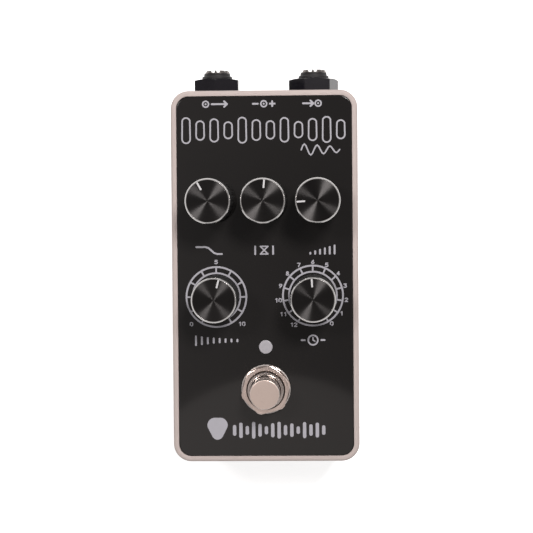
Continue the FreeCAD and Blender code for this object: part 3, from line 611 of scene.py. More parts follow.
def off_outline(point):
    """How far a point is outside the rounded outline of the box, in mm."""
    across = abs(point.x) - (BOX_WIDTH / 2 - BOX_CORNER)
    along = abs(point.y - BOX_MIDDLE) - (BOX_LENGTH / 2 - BOX_CORNER)
    if across > 0 and along > 0:
        return math.hypot(across, along) - BOX_CORNER
    return max(across, along) - BOX_CORNER


def rounded_block(name, inwards, low, high):
    """A block with round upright corners, its outline so far inwards from that of the box."""
    size = (BOX_WIDTH - 2 * inwards, BOX_LENGTH - 2 * inwards, high - low)
    piece = block(name, size, (0, BOX_MIDDLE, (low + high) / 2))
    round_edges(piece, BOX_CORNER - inwards, 14, upright)
    return piece


box = rounded_block("cast_box", 0, BOX_LOW, BOX_TOP)
open_up(box)
pick("FACE", lambda middle, normal: normal.z > 0.9)
bpy.ops.mesh.inset(thickness=RIM * mm)
extrude(PLATE_SEAT - BOX_TOP)
pick("FACE", lambda middle, normal: normal.z < -0.9)
bpy.ops.mesh.inset(thickness=WALL * mm)
extrude(ROOF_UNDER - BOX_LOW)
clear_bench()


def at_edge(level, inwards):
    """A test for the edges at a height, so far inwards from the outline of the box."""
    return lambda p, way: abs(p.z - level) < 0.01 and abs(off_outline(p) + inwards) < 0.1


print("edges rounded at the rim:", round_edges(box, 0.8, 6, at_edge(BOX_TOP, 0)))
print("edges rounded at the seat:", round_edges(box, 0.12, 2, at_edge(BOX_TOP, RIM)))
print("edges rounded below:", round_edges(box, 0.25, 2, at_edge(BOX_LOW, 0)))

# %% [markdown]
# ### Posts and holes
# The posts are added as rods before anything is drilled, so that the screws' holes run through both. The same
# list of holes serves the plate later, which keeps the two in line.

# %% Add the posts and drill the box
POST_RADIUS, POST_HIGH, SCREW_HOLE, SCREW_DEPTH = 4.2, 4.95, 1.53, 5.45
SWITCH_HOLE, CONTROL_HOLE, LENS_HOLE, JACK_HOLE, POWER_HOLE = 6.2, 3.65, 2.21, 4.9, 5.15
LAID_DOWN = (-90, 0, 0)
posts = [(POST_RADIUS, x, y, BOX_LOW, BOX_LOW + POST_HIGH) for x, y in SCREWS]
combine(box, drills(posts, 48), "UNION")
FACE_HOLES = [(CONTROL_HOLE, x, y) for x, y in CONTROLS.values()]
FACE_HOLES += [(SWITCH_HOLE, 0, SWITCH_Y), (LENS_HOLE, 0, LENS_Y)]
screw_holes = [(SCREW_HOLE, x, y, 0, BOX_LOW + SCREW_DEPTH) for x, y in SCREWS]
combine(box, drills([(*hole, 20, 40) for hole in FACE_HOLES] + screw_holes))
wall_holes = [(JACK_HOLE, x, -JACK_LEVEL, 50, 60) for x in JACKS.values()]
wall_holes += [(POWER_HOLE, 0, -JACK_LEVEL, 50, 60)]
combine(box, place(drills(wall_holes), turn=LAID_DOWN))
fit(box, "case", "box_metal", ["enclosure"])

# %% [markdown]
# ## The plate
# The plate is a thin sheet, painted after its edge was broken, so the border catches a thin line of light. A
# flat picture of a plate would miss that line, and the seat's shadow round it.

# %% Model the plate
PLATE_GAP = 0.08
plate = rounded_block("gloss_plate", RIM + PLATE_GAP, PLATE_SEAT, PLATE_TOP)
round_edges(plate, 0.3, 4, lambda p, way: abs(p.z - PLATE_TOP) < 0.01)
combine(plate, drills([(*hole, 30, 40) for hole in FACE_HOLES]))
fit(plate, "case", "plate_gloss", ["front_plate"])

# %% [markdown]
# ## The cover
# The cover closes the box from below: a flat sheet of the box's own outline, with a hole for each screw that
# widens to a cone for its head. The cone is turned once and copied to the four corners.

# %% Model the cover
COVER_LOW, COVER_HOLE = 2.5, 1.7
cover = rounded_block("base_cover", 0, COVER_LOW, BOX_LOW)
round_edges(cover, 0.5, 4, lambda p, way: abs(p.z - COVER_LOW) < 0.01)
combine(cover, drills([(COVER_HOLE, x, y, 2, 5) for x, y in SCREWS], 48))
cone = [(3.35, COVER_LOW - 0.5), (2.85, COVER_LOW), (COVER_HOLE, COVER_LOW + 1.15), (1.6, 5.0)]
sink = turned("sink", cone, 48)
sinks = [place(copy_of(sink, "sink_copy"), (x, y, 0)) for x, y in SCREWS]
bpy.data.objects.remove(sink)
combine(cover, joined("sinks", sinks))
fit(cover, "case", "cover_metal", ["bottom_cover"])

# %% [markdown]
# ## The screws
# All four are alike, so one is modelled and copied. It is turned with its cone, and a cross is cut into its
# head by two blocks that grow narrower inwards. A cross joined from both would cut itself and leave nothing,
# so they cut one after the other.

# %% Model the screws
screw_profile = [(2.5, 2.5), (2.72, 2.53), (2.8, 2.62), (1.5, 3.9), (1.5, 8.6), (1.2, 9.0)]
screw = turned("cover_screw", screw_profile, 48)
for across, along in ((0.8, 3.2), (3.2, 0.8)):
    cutter = block("cutter", (across, along, 2.0), (0, 0, COVER_LOW))
    open_up(cutter)
    pick("FACE", lambda middle, normal: normal.z > 0.9)
    bpy.ops.transform.resize(value=(0.55, 0.55, 1), center_override=(0, 0, (COVER_LOW + 1) * mm))
    combine(screw, cutter)
for number, (x, y) in enumerate(SCREWS, start=1):
    copy = place(copy_of(screw, f"cover_screw_{number}"), (x, y, 0), (0, 0, 31 * number))
    fit(copy, "case", "zinc", ["cover_screws"] if number == 1 else [])
bpy.data.objects.remove(screw)

# %% [markdown]
# ## The feet
# A foot is a rubber button, a little narrower below, with a dimple where it was moulded. Its edge is rolled
# in the profile itself, which is simpler than a bevel afterwards.

# %% Model the feet
button = [(5.0, 2.5), (5.0, 2.1), (4.92, 1.2), (4.75, 0.45), (4.6, 0.16), (4.3, 0.0)]
dimple = [(1.9, 0.0), (1.7, 0.1), (1.4, 0.6), (0.2, 0.75)]
foot = turned("foot", button + dimple, 64)
for number, (side, end) in enumerate(CORNERS, start=1):
    copy = place(copy_of(foot, f"rubber_foot_{number}"), (side * 18.75, BOX_MIDDLE + end * 42.25, 0))
    fit(copy, "case", "rubber", ["rubber_feet"] if number == 1 else [])
bpy.data.objects.remove(foot)

# %% [markdown]
# ## The knobs
# A knob is a black moulding with 24 fine flutes, a bright ring cut at about 45 degrees round its top, and a
# spun face with a painted pointer. The moulding is turned hollow, and every fourth line of points on its side
# is pulled in to make the flutes, which is lighter than cutting 24 grooves.

# %% Turn the moulding
KNOB_LOW, KNOB_RADIUS, FLUTES, FLUTE_DEPTH, SET_SCREW_UP = 35.95, 7.0, 24, 0.18, 8.0
bore = [(0.3, 48.55), (3.03, 48.55), (3.03, 39.35)]
skirt = [(6.1, 39.35), (6.1, 36.15), (6.25, KNOB_LOW), (6.85, KNOB_LOW)]
grip = [(KNOB_RADIUS, 36.1), (KNOB_RADIUS, 49.85), (KNOB_RADIUS, 50.2)]
shoulder = [(6.87, 50.40), (6.46, 50.50), (6.44, 50.62), (0.5, 50.55)]
shell = turned("knob_shell", bore + skirt + grip + shoulder)


def on_flute(point, _):
    """A test for the points on a flute's line, below the shoulder."""
    apart = 360 / FLUTES
    turn = math.degrees(math.atan2(point.x, point.y)) % apart
    return math.hypot(point.x, point.y) > 6.8 and point.z < 50.0 and min(turn, apart - turn) < 0.5


open_up(shell)
print("points pulled in for the flutes:", pick("VERT", on_flute))
pull = 1 - FLUTE_DEPTH / KNOB_RADIUS
bpy.ops.transform.resize(value=(pull, pull, 1), center_override=(0, 0, 0))
screw_hole = drills([(SCREW_HOLE, 0, -(KNOB_LOW + SET_SCREW_UP), 2.5, 9.0)], 32)
combine(shell, place(screw_hole, turn=(90, 0, 0)))

# %% [markdown]
# ### The edge, the face and the pointer
# The face is a piece of its own. Its grooves are rings on a flat map that is measured from the knob's middle,
# and the smear of the light circles the middle of the piece, so it has to be round. The pointer is a thin
# block with rounded corners, because paint stands a little proud of the metal.

# %% Cut the edge, spin the face and paint the pointer
cut = [(6.86, 50.36), (6.86, 50.53), (6.83, 50.57), (6.48, 50.93)]
crest = [(6.43, 50.95), (6.39, 50.93), (6.39, 50.55)]
edge = turned("knob_edge", cut + crest, closed=True)
dish = [(6.39, 50.60), (6.39, 50.89), (6.36, 50.91), (5.0, 50.90), (3.0, 50.885), (1.2, 50.872)]
face = turned("knob_face", dish + [(0.35, 50.868), (0.05, 50.868)])
flat_map = face.data.uv_layers.new(name="face_map")
for corner in face.data.loops:
    point = face.data.vertices[corner.vertex_index].co / (2 * KNOB_RADIUS * mm)
    flat_map.data[corner.index].uv = point.xy

POINTER_END, POINTER_LONG, POINTER_WIDE = 6.38, 2.6, 0.55
middle = (0, POINTER_END - POINTER_LONG / 2, 50.86)
pointer = block("knob_pointer", (POINTER_WIDE, POINTER_LONG, 0.17), middle)
round_edges(pointer, 0.2, 5, upright)
round_edges(pointer, 0.03, 2, lambda p, way: p.z > 50.94)
print("knob pieces:", [piece.name for piece in (shell, edge, face, pointer)])

# %% [markdown]
# ### Five knobs on five shafts
# Each knob is turned as its solid is. A round solid doesn't show how it is turned, but its set screw does, so
# the way from the shaft to that screw gives the angle.

# %% Put the five knobs on their shafts
def way_to(node, x, y):
    """The way from a point to the middle of a solid, in degrees from +X."""
    low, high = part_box(node)
    spot = (low + high) / (2 * mm)
    return math.degrees(math.atan2(spot.y - y, spot.x - x))


KIT = {"shell": (shell, knob_plastic), "edge": (edge, cut_edge), "face": (face, face_black)}
KIT["pointer"] = (pointer, pointer_paint)
for name, (x, y) in CONTROLS.items():
    turn = way_to(f"{name}_set_screw", x, y) + 90
    print(name, "knob turned by", round(turn, 1), "degrees")
    for kind, (model, finish) in KIT.items():
        copy = place(copy_of(model, f"{name}_knob_{kind}"), (x, y, 0), (0, 0, turn))
        fit(copy, f"{name}_dial", "knob_black", [f"{name}_knob"] if kind == "shell" else [], finish, 25)
for model, finish in KIT.values():
    bpy.data.objects.remove(model)

# %% [markdown]
# ## The footswitch
# A footswitch is held by one nut on a threaded bushing, with a washer under the nut to save the paint. Its
# plating looks brighter on flanks than on tops, which mirror the dark ceiling. On the washer this is also
# painted: its flank has a paler colour than its top, a painted sheen on one nickel. Two pieces with a finish
# each would show a seam, so one finish changes at a height.

# %% Plating that changes at a height
def two_tone(name, level, side, top):
    """Plating that changes at a height in mm. Each of its two parts is (colour, metallic, roughness)."""
    finish, bench, where = new_finish(name)
    height = where.make("ShaderNodeSeparateXYZ", None, {0: where}, "Z")
    above = step(height, (level - 0.04) * mm, (level + 0.04) * mm)
    fine = grain(where, 0.18)
    sockets = {
        "Base Color": blend(above, side[0], top[0]),
        "Metallic": between(side[1], top[1], above),
        "Roughness": between(side[2], top[2], above) + fine * 0.05,
        "Normal": relief(fine, 0.003, 0.5),
    }
    return coated(finish, bench, sockets)


# %% [markdown]
# ### The washer
# The washer is a ring with a rolled outer edge. A bevel could roll it after turning, but a quarter circle in
# the profile needs no picking of edges.

# %% Turn the washer
def rolled(radius, top, edge, segments=6):
    """A rounded edge, from the side up to the top."""
    steps = [math.radians(90 * n / segments) for n in range(segments + 1)]
    return [(radius - edge + edge * math.cos(a), top - edge + edge * math.sin(a)) for a in steps]


WASHER_TOP = 35.75
inner_edge = [(6.06, 35.0), (6.06, 35.70), (6.15, WASHER_TOP), (7.1, WASHER_TOP)]
underside = [(7.7, 35.1), (7.6, 34.96), (6.2, 34.96)]
outer_edge = rolled(7.7, WASHER_TOP, 0.4, 8)[:-1][::-1]
washer = turned("switch_washer_ring", inner_edge + outer_edge + underside, closed=True)
place(washer, (0, SWITCH_Y, 0))
# The washer is one nickel: its paler flank is a painted sheen, and its darker top a painted shade.
washer_flank_painted_sheen, washer_top_painted_shade = ((0.80, 0.73, 0.70), 0.45, 0.25), ((0.50, 0.43, 0.40), 0.95, 0.16)
washer_finish = two_tone("washer_nickel_painted_sheen", 35.70, washer_flank_painted_sheen, washer_top_painted_shade)
fit(washer, "case", "nickel", ["switch_washer"], washer_finish)

# %% [markdown]
# ### The crown and the bushing
# The bushing is a threaded tube with a square collar under the roof and a bright crown at its upper end. A
# real thread is one long screw line, which would need a seam at both ends. Rings with the same saw teeth look
# alike from every side, and they can be turned.

# %% Turn the crown and the bushing
def thread(radius, low, high, pitch=0.75, depth=0.22):
    """The saw teeth of a thread, from the top down, as rings."""
    teeth = []
    count = int((high - low) / pitch)
    for number in range(count):
        top = high - number * pitch
        teeth += [(radius, top), (radius, top - pitch * 0.2), (radius - depth, top - pitch * 0.6)]
    return teeth + [(radius, high - count * pitch), (radius, low)]


lip = [(4.68, 38.2), (4.70, 38.6), (4.78, 38.74), (4.95, 38.8), (5.57, 38.8), (5.66, 38.64), (5.66, 38.2)]
crown = turned("switch_crown", lip, closed=True)
place(crown, (0, SWITCH_Y, 0))
fit(crown, "case", "nickel", [], crown_metal, 24)
tube = [(4.68, 27.95), (4.68, 38.2), (5.65, 38.2), (5.65, 36.6)] + thread(6.0, 28.9, 36.5) + [(6.0, 28.0)]
bushing = turned("switch_bushing", tube, closed=True)
collar = block("collar", (17, 17, 1), (0, 0, 28.4))
round_edges(collar, 0.6, 3, upright)
combine(collar, drills([(5.2, 0, 0, 20, 40)]))
place(joined("switch_bushing", [bushing, collar]), (0, SWITCH_Y, 0))
# The dark finish is painted shade in the narrow gap between the nut and the crown.
fit(bushing, "case", "nickel", ["switch_frame"], bushing_painted_shade)

# %% [markdown]
# ### The plunger
# The plunger is the button that the foot presses, with a flange that keeps it in the bushing. Its height is
# read from its solid, because it has to move as the solid does.

# %% Turn the plunger
plunger_low, plunger_high = [corner.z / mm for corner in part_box("switch_plunger")]
flange = [(5.5, 0), (5.6, 0.1), (5.6, 1.3), (5.5, 1.4), (4.6, 1.4)]
stem = rolled(4.6, plunger_high, 0.34) + [(2.0, plunger_high)]
plunger = turned("foot_plunger", [(radius, plunger_low + above) for radius, above in flange] + stem)
place(plunger, (0, SWITCH_Y, 0))
plunger_side, plunger_top = ((0.60, 0.55, 0.52), 0.95, 0.03), ((0.62, 0.50, 0.445), 0.60, 0.30)
plunger_finish = two_tone("plunger_nickel", plunger_high - 0.08, plunger_side, plunger_top)
fit(plunger, "plunger", "nickel", ["switch_plunger"], plunger_finish)

# %% [markdown]
# ### The spring under the plunger
# The solid of the spring is only a sleeve that keeps its place. The real one is a coil of round wire, which a
# screw modifier sweeps from one small circle. It rides on the case and keeps its length when the plunger is
# pressed.

# %% Coil the spring
WIRE, TURNS, TRAVEL = 0.8, 4.5, 3.5
floor_corner, top_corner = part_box("switch_spring")
spring_low, spring_high = floor_corner.z / mm, top_corner.z / mm
spring_radius = (top_corner.x - floor_corner.x) / (2 * mm) - WIRE / 2
clear_bench()
bpy.ops.mesh.primitive_circle_add(vertices=12, radius=WIRE / 2 * mm)
spring = place(bpy.context.object, (spring_radius, 0, 0), (90, 0, 0))
spring.name = spring.data.name = "plunger_spring"
take(spring)
coil = spring.modifiers.new("coil", "SCREW")
coil.angle, coil.screw_offset = math.radians(360 * TURNS), (spring_high - spring_low - WIRE) * mm
coil.steps = coil.render_steps = int(24 * TURNS)
bpy.ops.object.modifier_apply(modifier=coil.name)
open_up(spring)
bpy.ops.mesh.select_all(action="SELECT")
bpy.ops.mesh.fill_holes(sides=0)
face_outwards()
place(spring, (0, SWITCH_Y, spring_low + WIRE / 2))
fit(spring, "case", "spring_steel", ["switch_spring"], smooth=40)
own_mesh(spring)
print("spring from", round(spring_low, 2), "to", round(spring_high, 2), "mm")

# %% [markdown]
# ### Nuts
# A nut starts as a six-sided bar and is then turned, which cuts its corners to a cone. Bevelling the corners
# would give flat cuts, so here the bar keeps only what it shares with a turned blank. That leaves the curved
# line on each side that every real nut has.

# %% Cut a nut
def hexagon_nut(name, flats, height, bore, cone, corners=9.0, top=None, edge=0.06, sink=0.08):
    """A nut about the Z axis: its corners turned to a cone and a largest radius, its bore countersunk."""
    clear_bench()
    bpy.ops.mesh.primitive_cylinder_add(vertices=6, radius=flats / math.sqrt(3) * mm, depth=height * mm)
    nut = place(bpy.context.object, (0, 0, height / 2))
    nut.name = nut.data.name = name
    full, reach = flats / 2 - 0.05, min(flats / math.sqrt(3) + 0.3, corners)
    blank = [(full, -0.01), (reach, cone), (reach, height - cone)] + (top or [(full, height + 0.01)])
    combine(nut, turned("blank", blank, 120), "INTERSECT")
    wide = bore + sink
    drill = [(wide, -0.01), (bore, sink), (bore, height - sink), (wide, height + 0.01)]
    combine(nut, turned("bore", drill, 64))
    take(nut)
    tumbled = nut.modifiers.new("tumbled", "BEVEL")
    tumbled.width, tumbled.segments = edge * mm, 2
    tumbled.limit_method, tumbled.angle_limit = "ANGLE", math.radians(28)
    bpy.ops.object.modifier_apply(modifier=tumbled.name)
    return swept(nut)


def corner_of(node, middle, axes):
    """The way to a nut's farthest corner in degrees, seen along its axis."""
    first, second = axes
    points = [corner.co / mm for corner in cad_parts[node].data.vertices]
    away = [(p[first] - middle[0], p[second] - middle[1]) for p in points]
    far = max(away, key=lambda w: w[0] ** 2 + w[1] ** 2)
    return math.degrees(math.atan2(far[1], far[0]))


NUT_FLATS, JACK_NUT_AT = 14.0, 55.0
switch_nut = hexagon_nut("switch_top_nut", NUT_FLATS, 2.0, 6.04, 0.30, 7.77, [(6.88, 2.0), (6.8, 2.01)])
switch_turn = corner_of("switch_nut", (0, SWITCH_Y), (0, 1)) - 90
place(switch_nut, (0, SWITCH_Y, WASHER_TOP), (0, 0, switch_turn))
fit(switch_nut, "case", "nickel", ["switch_nut"])

# %% [markdown]
# ## The lens
# The lens is a milky rod, level with the plate, with a flange under the roof that keeps it from falling out.
# Light could really scatter inside it, but while its lamp is off a pale plastic with a soft shine looks the
# same, and it renders faster.

# %% Turn the lens
LENS_RADIUS = 2.15
hidden_flange = [(3.0, 30.75), (3.0, 31.45), (LENS_RADIUS, 31.5)]
window = rolled(LENS_RADIUS, PLATE_TOP, 0.22, 4) + [(0.8, PLATE_TOP)]
lens = turned("lamp_window", hidden_flange + window, 64)
place(lens, (0, LENS_Y, 0))
fit(lens, "case", "lens", ["lamp_lens"])

# %% [markdown]
# ## The jacks
# Each jack has a black nut and washer outside the wall, and its nose ends in a bright ferrule whose rim is
# notched like a crown, so it glitters. All are turned about the Z axis and then laid down, so that their own
# height runs out of the wall.

# %% Turn the jacks' hardware
TEETH = [(-59, -28), (-9, 3), (16, 44), (54, 75)]
tip_inside = [(3.25, 51.1), (3.25, 61.75), (3.35, 62.0), (3.75, 62.0)]
tip_outside = [(3.9, 61.92), (4.0, 61.75), (4.2, 61.25), (4.2, 61.08), (3.85, 61.08), (3.85, 51.1)]
ferrule = turned("ferrule", tip_inside + tip_outside, 120, closed=True)


def on_notch(point, _):
    """A test for the points of the rim that are between two teeth."""
    turn = math.degrees(math.atan2(point.x, abs(point.y)))
    return point.z > 61.7 and not any(start < turn < end for start, end in TEETH)


open_up(ferrule)
print("points pushed down between the teeth:", pick("VERT", on_notch))
bpy.ops.transform.translate(value=(0, 0, -0.72 * mm))
flat_ring = [(4.8, 54.52), (4.8, 54.98), (6.95, 54.98), (7.0, 54.9), (7.0, 54.6), (6.95, 54.52)]
black_washer = turned("washer", flat_ring, 72, closed=True)
for name, x in JACKS.items():
    spot = (x, 0, JACK_LEVEL)
    tip = place(copy_of(ferrule, f"{name}_tip"), spot, LAID_DOWN)
    fit(tip, "case", "nickel", [f"{name}_ferrule"], chrome, 20)
    disc = place(copy_of(black_washer, f"{name}_washer"), spot, LAID_DOWN)
    fit(disc, "case", "jack_plastic", [f"{name}_jack_washer"])
    nut = hexagon_nut(f"{name}_nut", NUT_FLATS, 4.0, 4.79, 0.35, edge=0.10, sink=0.26)
    up = corner_of(f"{name}_jack_nut", (x, JACK_LEVEL), (0, 2))
    place(nut, (0, 0, JACK_NUT_AT))
    place(nut, turn=LAID_DOWN)
    place(nut, spot, (0, 90 - up, 0))
    fit(nut, "case", "jack_plastic", [f"{name}_jack_nut"])
bpy.data.objects.remove(ferrule)
bpy.data.objects.remove(black_washer)

# %% [markdown]
# ### The jacks' bodies
# A body is one moulding: a box inside the wall and a threaded nose through it. Nose and box are modelled
# apart and added, then bored for the plug and slotted for the contact.

# %% Mould the jacks' bodies
collar_and_neck = [(4.8, 59.3), (4.88, 59.4), (4.88, 60.0), (4.75, 60.15), (4.25, 60.2)]
nose_end = [(4.22, 60.45), (4.3, 60.6), (4.2, 61.05), (0.5, 61.05)]
nose_thread = thread(4.75, 52.1, 59.4, 0.9, 0.2)[::-1]
nose = turned("nose", [(0.5, 52.0), (4.6, 52.0)] + nose_thread + collar_and_neck + nose_end, 72)
moulding = block("moulding", (15.6, 15.2, 22.0), (0, 0, 41.5))
round_edges(moulding, 0.8, 4, upright)
combine(moulding, nose, "UNION")
combine(moulding, drills([(3.87, 0, 0, 31.7, 63)]))
combine(moulding, block("slot", (2.6, 7.8, 12.2), (0, 3.85, 40.2)))
for name, x in JACKS.items():
    body = place(copy_of(moulding, f"{name}_moulding"), (x, 0, JACK_LEVEL), LAID_DOWN)
    fit(body, "case", "jack_plastic", [f"{name}_jack"], nose_plastic, 30)
bpy.data.objects.remove(moulding)

# %% [markdown]
# ## Solids that only need smooth shading
# Some solids have the right shape but come as loose flat triangles. A copy is merged at its seams and shaded
# smooth across small angles, and it stands for the solid.

# %% Merge and smooth
SMOOTHED = {
    "power_socket": ("power_socket_body", "jack_plastic", jack_plastic),
    "power_pin": ("power_socket_pin", "nickel", nickel),
    "control_nuts": ("control_hexagons", "nickel", zinc),
}
for node, (name, slot, finish) in SMOOTHED.items():
    twin = copy_of(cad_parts[node], name)
    open_up(twin)
    merge_points()
    fit(twin, "case", slot, [node], finish, 28)

# %% [markdown]
# ## The print on the plate
# Screen ink lies a few hundredths of a millimetre proud of the paint, and its edge is crisp. A picture on the
# plate would blur from near, so every line is drawn as a thin solid stroke with round ends, as a pen draws.
# Where two strokes cross, tops of the same height would flicker, so each stroke is a little higher than the
# one before.

# %% Lift ink and draw a stroke
INK_LOW, INK_TOP, INK_STEP = PLATE_TOP - 0.01, PLATE_TOP + 0.03, 0.002
ink_levels = itertools.cycle((1, 2, 3, 4, 5, 6, 0))


def raise_ink(piece):
    """Lifts a flat outline into a thin layer of ink."""
    open_up(piece)
    bpy.ops.mesh.select_all(action="SELECT")
    extrude(INK_TOP - INK_LOW + next(ink_levels) * INK_STEP)
    face_outwards()
    return piece


def stroke(start, end, width, hollow=0):
    """A round-ended stroke between two points, solid or as an outline of its own line width."""
    (x1, y1), (x2, y2) = start, end
    long = math.hypot(x2 - x1, y2 - y1)
    clear_bench()
    bpy.ops.mesh.primitive_circle_add(vertices=20, radius=width / 2 * mm, fill_type="NGON")
    piece = bpy.context.object
    open_up(piece)
    if long > 0:
        pick("VERT", lambda point, normal: point.x > 0.001 * width)
        bpy.ops.transform.translate(value=(long * mm, 0, 0))
    if hollow:
        pick("FACE", lambda middle, normal: True)
        bpy.ops.mesh.inset(thickness=hollow * mm)
        bpy.ops.mesh.delete(type="FACE")
    way = math.degrees(math.atan2(y2 - y1, x2 - x1))
    return raise_ink(place(piece, (x1, y1, INK_LOW), (0, 0, way)))


# %% [markdown]
# ### Lines and rings
# A bent line is a row of strokes, whose round ends fill the bends. A printed ring could be a row of strokes
# too, but it is turned instead, which gives a clean circle with fewer faces.

# %% Draw lines and rings, and fit them on the plate
def line(points, width, x=0, y=0):
    """A bent line of strokes, drawn about a point."""
    spots = [(x + across, y + along) for across, along in points]
    return [stroke(a, b, width) for a, b in zip(spots, spots[1:])]


def hoop(x, y, outer, inner, sides=96):
    """A printed ring, a little lower than the strokes that cross it."""
    top = INK_TOP - 2 * INK_STEP
    profile = [(inner, INK_LOW), (inner, top), (outer, top), (outer, INK_LOW)]
    return place(turned("hoop", profile, sides, closed=True), (x, y, 0))


def print_on_plate(name, pieces):
    """Joins what was drawn and fits it on the plate in ink."""
    return fit(joined(name, pieces), "case", "plate_gloss", finish=ink, smooth=30)


# %% [markdown]
# ### The two scales
# Round each of the two lower knobs run two rings joined by ticks, with plain numbers outside. A font would
# bring curves of its own, which are too thin at this size, so each digit is a list of pen points on a grid,
# 2 steps wide and 4 steps high. The scales stand a little off the shafts, as they do on the real plate.

# %% Draw a number
DIGITS = {
    "0": [(0.5, 0), (1.5, 0), (2, 0.9), (2, 3.1), (1.5, 4), (0.5, 4), (0, 3.1), (0, 0.9), (0.5, 0)],
    "1": [(0.5, 3.3), (1.3, 4), (1.3, 0)],
    "2": [(0, 3.3), (0.6, 4), (1.5, 4), (2, 3.3), (1.9, 2.5), (0, 0), (2, 0)],
    "3": [(0, 4), (1.9, 4), (0.9, 2.4), (1.6, 2.2), (2, 1.2), (1.5, 0.1), (0.7, 0), (0, 0.4)],
    "4": [(1.5, 0), (1.5, 4), (0, 1.2), (2.1, 1.2)],
    "5": [(1.9, 4), (0.3, 4), (0.1, 2.3), (1.3, 2.5), (2, 1.7), (2, 0.8), (1.4, 0), (0, 0.2)],
    "6": [(1.6, 4), (0.4, 2.2), (0, 1.1), (0.5, 0), (1.5, 0), (2, 0.9), (1.6, 2.1), (0.4, 2.1)],
    "7": [(0, 4), (2, 4), (0.7, 0)],
    "8": [(1, 2.1), (0.2, 3), (0.6, 4), (1.4, 4), (1.8, 3), (1, 2.1), (0, 1.1), (0.5, 0), (1.5, 0), (2, 1.1)],
    "9": [(0.4, 0), (1.6, 1.8), (2, 2.9), (1.5, 4), (0.5, 4), (0, 3.1), (0.4, 1.9), (1.6, 1.9)],
}
DIGITS["8"].append(DIGITS["8"][0])


def numeral(text, x, y, wide=0.40, high=0.265, weight=0.32):
    """A plain number of pen strokes with its middle at a point."""
    drawn = []
    for number, digit in enumerate(text):
        left = x + (number * 2.9 - (len(text) - 1) * 1.45 - 1) * wide
        drawn += line([(left + a * wide, y + (b - 2) * high) for a, b in DIGITS[digit]], weight)
    return joined("numeral", drawn)


# %% [markdown]
# ### Rings, ticks and numbers
# A tick reaches from the inner ring to the outer one. Each scale is joined into one piece, because it is one
# print on the real plate, and its places are given by distance and angle, as on a dial.

# %% Print the two scales
RINGS = [(9.68, 9.12), (7.76, 7.22)]
TICK_FROM, TICK_TO, TICK_WIDE = 7.6, 9.3, 0.52
REPEATS_SCALE, TIME_SCALE = (-15.35, -10.15), (14.93, -9.87)


def around(x, y, far, angle):
    """A point at a distance and an angle clockwise from the top."""
    return x + far * math.sin(math.radians(angle)), y + far * math.cos(math.radians(angle))


def scale_round(x, y, ticks):
    """Two rings and the ticks between them, at angles clockwise from the top."""
    ends = [(around(x, y, TICK_FROM, angle), around(x, y, TICK_TO, angle)) for angle in ticks]
    return [hoop(x, y, *ring, sides=128) for ring in RINGS] + [stroke(*pair, TICK_WIDE) for pair in ends]


repeats_scale = scale_round(*REPEATS_SCALE, range(-150, 151, 30))
for text, angle, far in (("0", -137, 11.6), ("5", 0, 11.0), ("10", 137, 11.6)):
    repeats_scale.append(numeral(text, *around(*REPEATS_SCALE, far, angle)))
print_on_plate("repeats_scale_print", repeats_scale)
time_scale = scale_round(*TIME_SCALE, range(-150, 151, 25))
for number in range(13):
    far = 10.95 if number > 9 else 10.55
    time_scale.append(numeral(str(number), *around(*TIME_SCALE, far, 146.5 - number * 24.4)))
print_on_plate("time_scale_print", time_scale)

# %% [markdown]
# ### Signs at the sockets and the knobs
# Signs need no language, so plain ones mark the sockets and the knobs: an arrow out, a socket, an arrow in, a
# curve, an hourglass, a rising row of bars, fading bars and a clock. A few strokes each are enough, so the
# same pen draws them all, with a finer nib for the hourglass and the clock's hands.

# %% Print the signs at the sockets
PEN, FINE_PEN, BAR = 0.58, 0.42, 0.62
TOP_ROW, KNOB_ROW, LOW_ROW = 50.25, 4.45, -23.85


def arrow(x, long):
    """An arrow to the right with its middle at a place in the top row."""
    tip = long / 2
    shaft = line([(-tip, 0), (tip, 0)], PEN, x, TOP_ROW)
    return shaft + line([(tip - 0.9, 0.85), (tip, 0), (tip - 0.9, -0.85)], PEN, x, TOP_ROW)


def socket_sign(x):
    """A ring with a dot in it."""
    return [hoop(x, TOP_ROW, 1.15, 0.7, 40), stroke((x, TOP_ROW), (x, TOP_ROW), 0.6)]


socket_signs = socket_sign(-18.2) + arrow(-13.9, 4.8) + socket_sign(0)
for dash in ([(-3.4, 0), (-1.9, 0)], [(1.9, 0), (3.4, 0)], [(2.65, -0.75), (2.65, 0.75)]):
    socket_signs += line(dash, PEN, 0, TOP_ROW)
print_on_plate("socket_signs_print", socket_signs + arrow(13.9, 3.2) + socket_sign(17.0))

# %% [markdown]
# ### Rows of bars
# A row of bars is a list of lower and upper ends. They could be boxes, but round-ended strokes match the
# rest, and the same lines then draw the rising row here, the fading row below, and the larger rows later.

# %% Print the signs at the knobs and below them
def bars(left, gap, spans, width, hollow=0):
    """A row of upright strokes, each from its lower to its upper end."""
    places = [left + number * gap for number in range(len(spans))]
    return [stroke((x, low), (x, high), width, hollow) for x, (low, high) in zip(places, spans)]


def centred(y, halves):
    """The ends of bars that reach as far up as down."""
    return [(y - half, y + half) for half in halves]


slope = [(-4, 1.1), (-1.2, 1.1), (-0.2, 0.8), (0.7, 0.0), (1.6, -0.8), (2.6, -1.1), (4, -1.1)]
glass = [(-1.2, 1.2), (1.2, 1.2), (-1.2, -1.2), (1.2, -1.2), (-1.2, 1.2)]
knob_signs = line(slope, PEN, -17.5, KNOB_ROW) + line(glass, FINE_PEN, -0.25, KNOB_ROW)
for side in (-2.8, 2.8):
    knob_signs += line([(side, -1.2), (side, 1.2)], PEN, -0.25, KNOB_ROW)
rising = [(KNOB_ROW - 1.2, KNOB_ROW - 0.9 + 0.44 * number) for number in range(6)]
print_on_plate("knob_signs_print", knob_signs + bars(14.2, 1.52, rising, BAR))

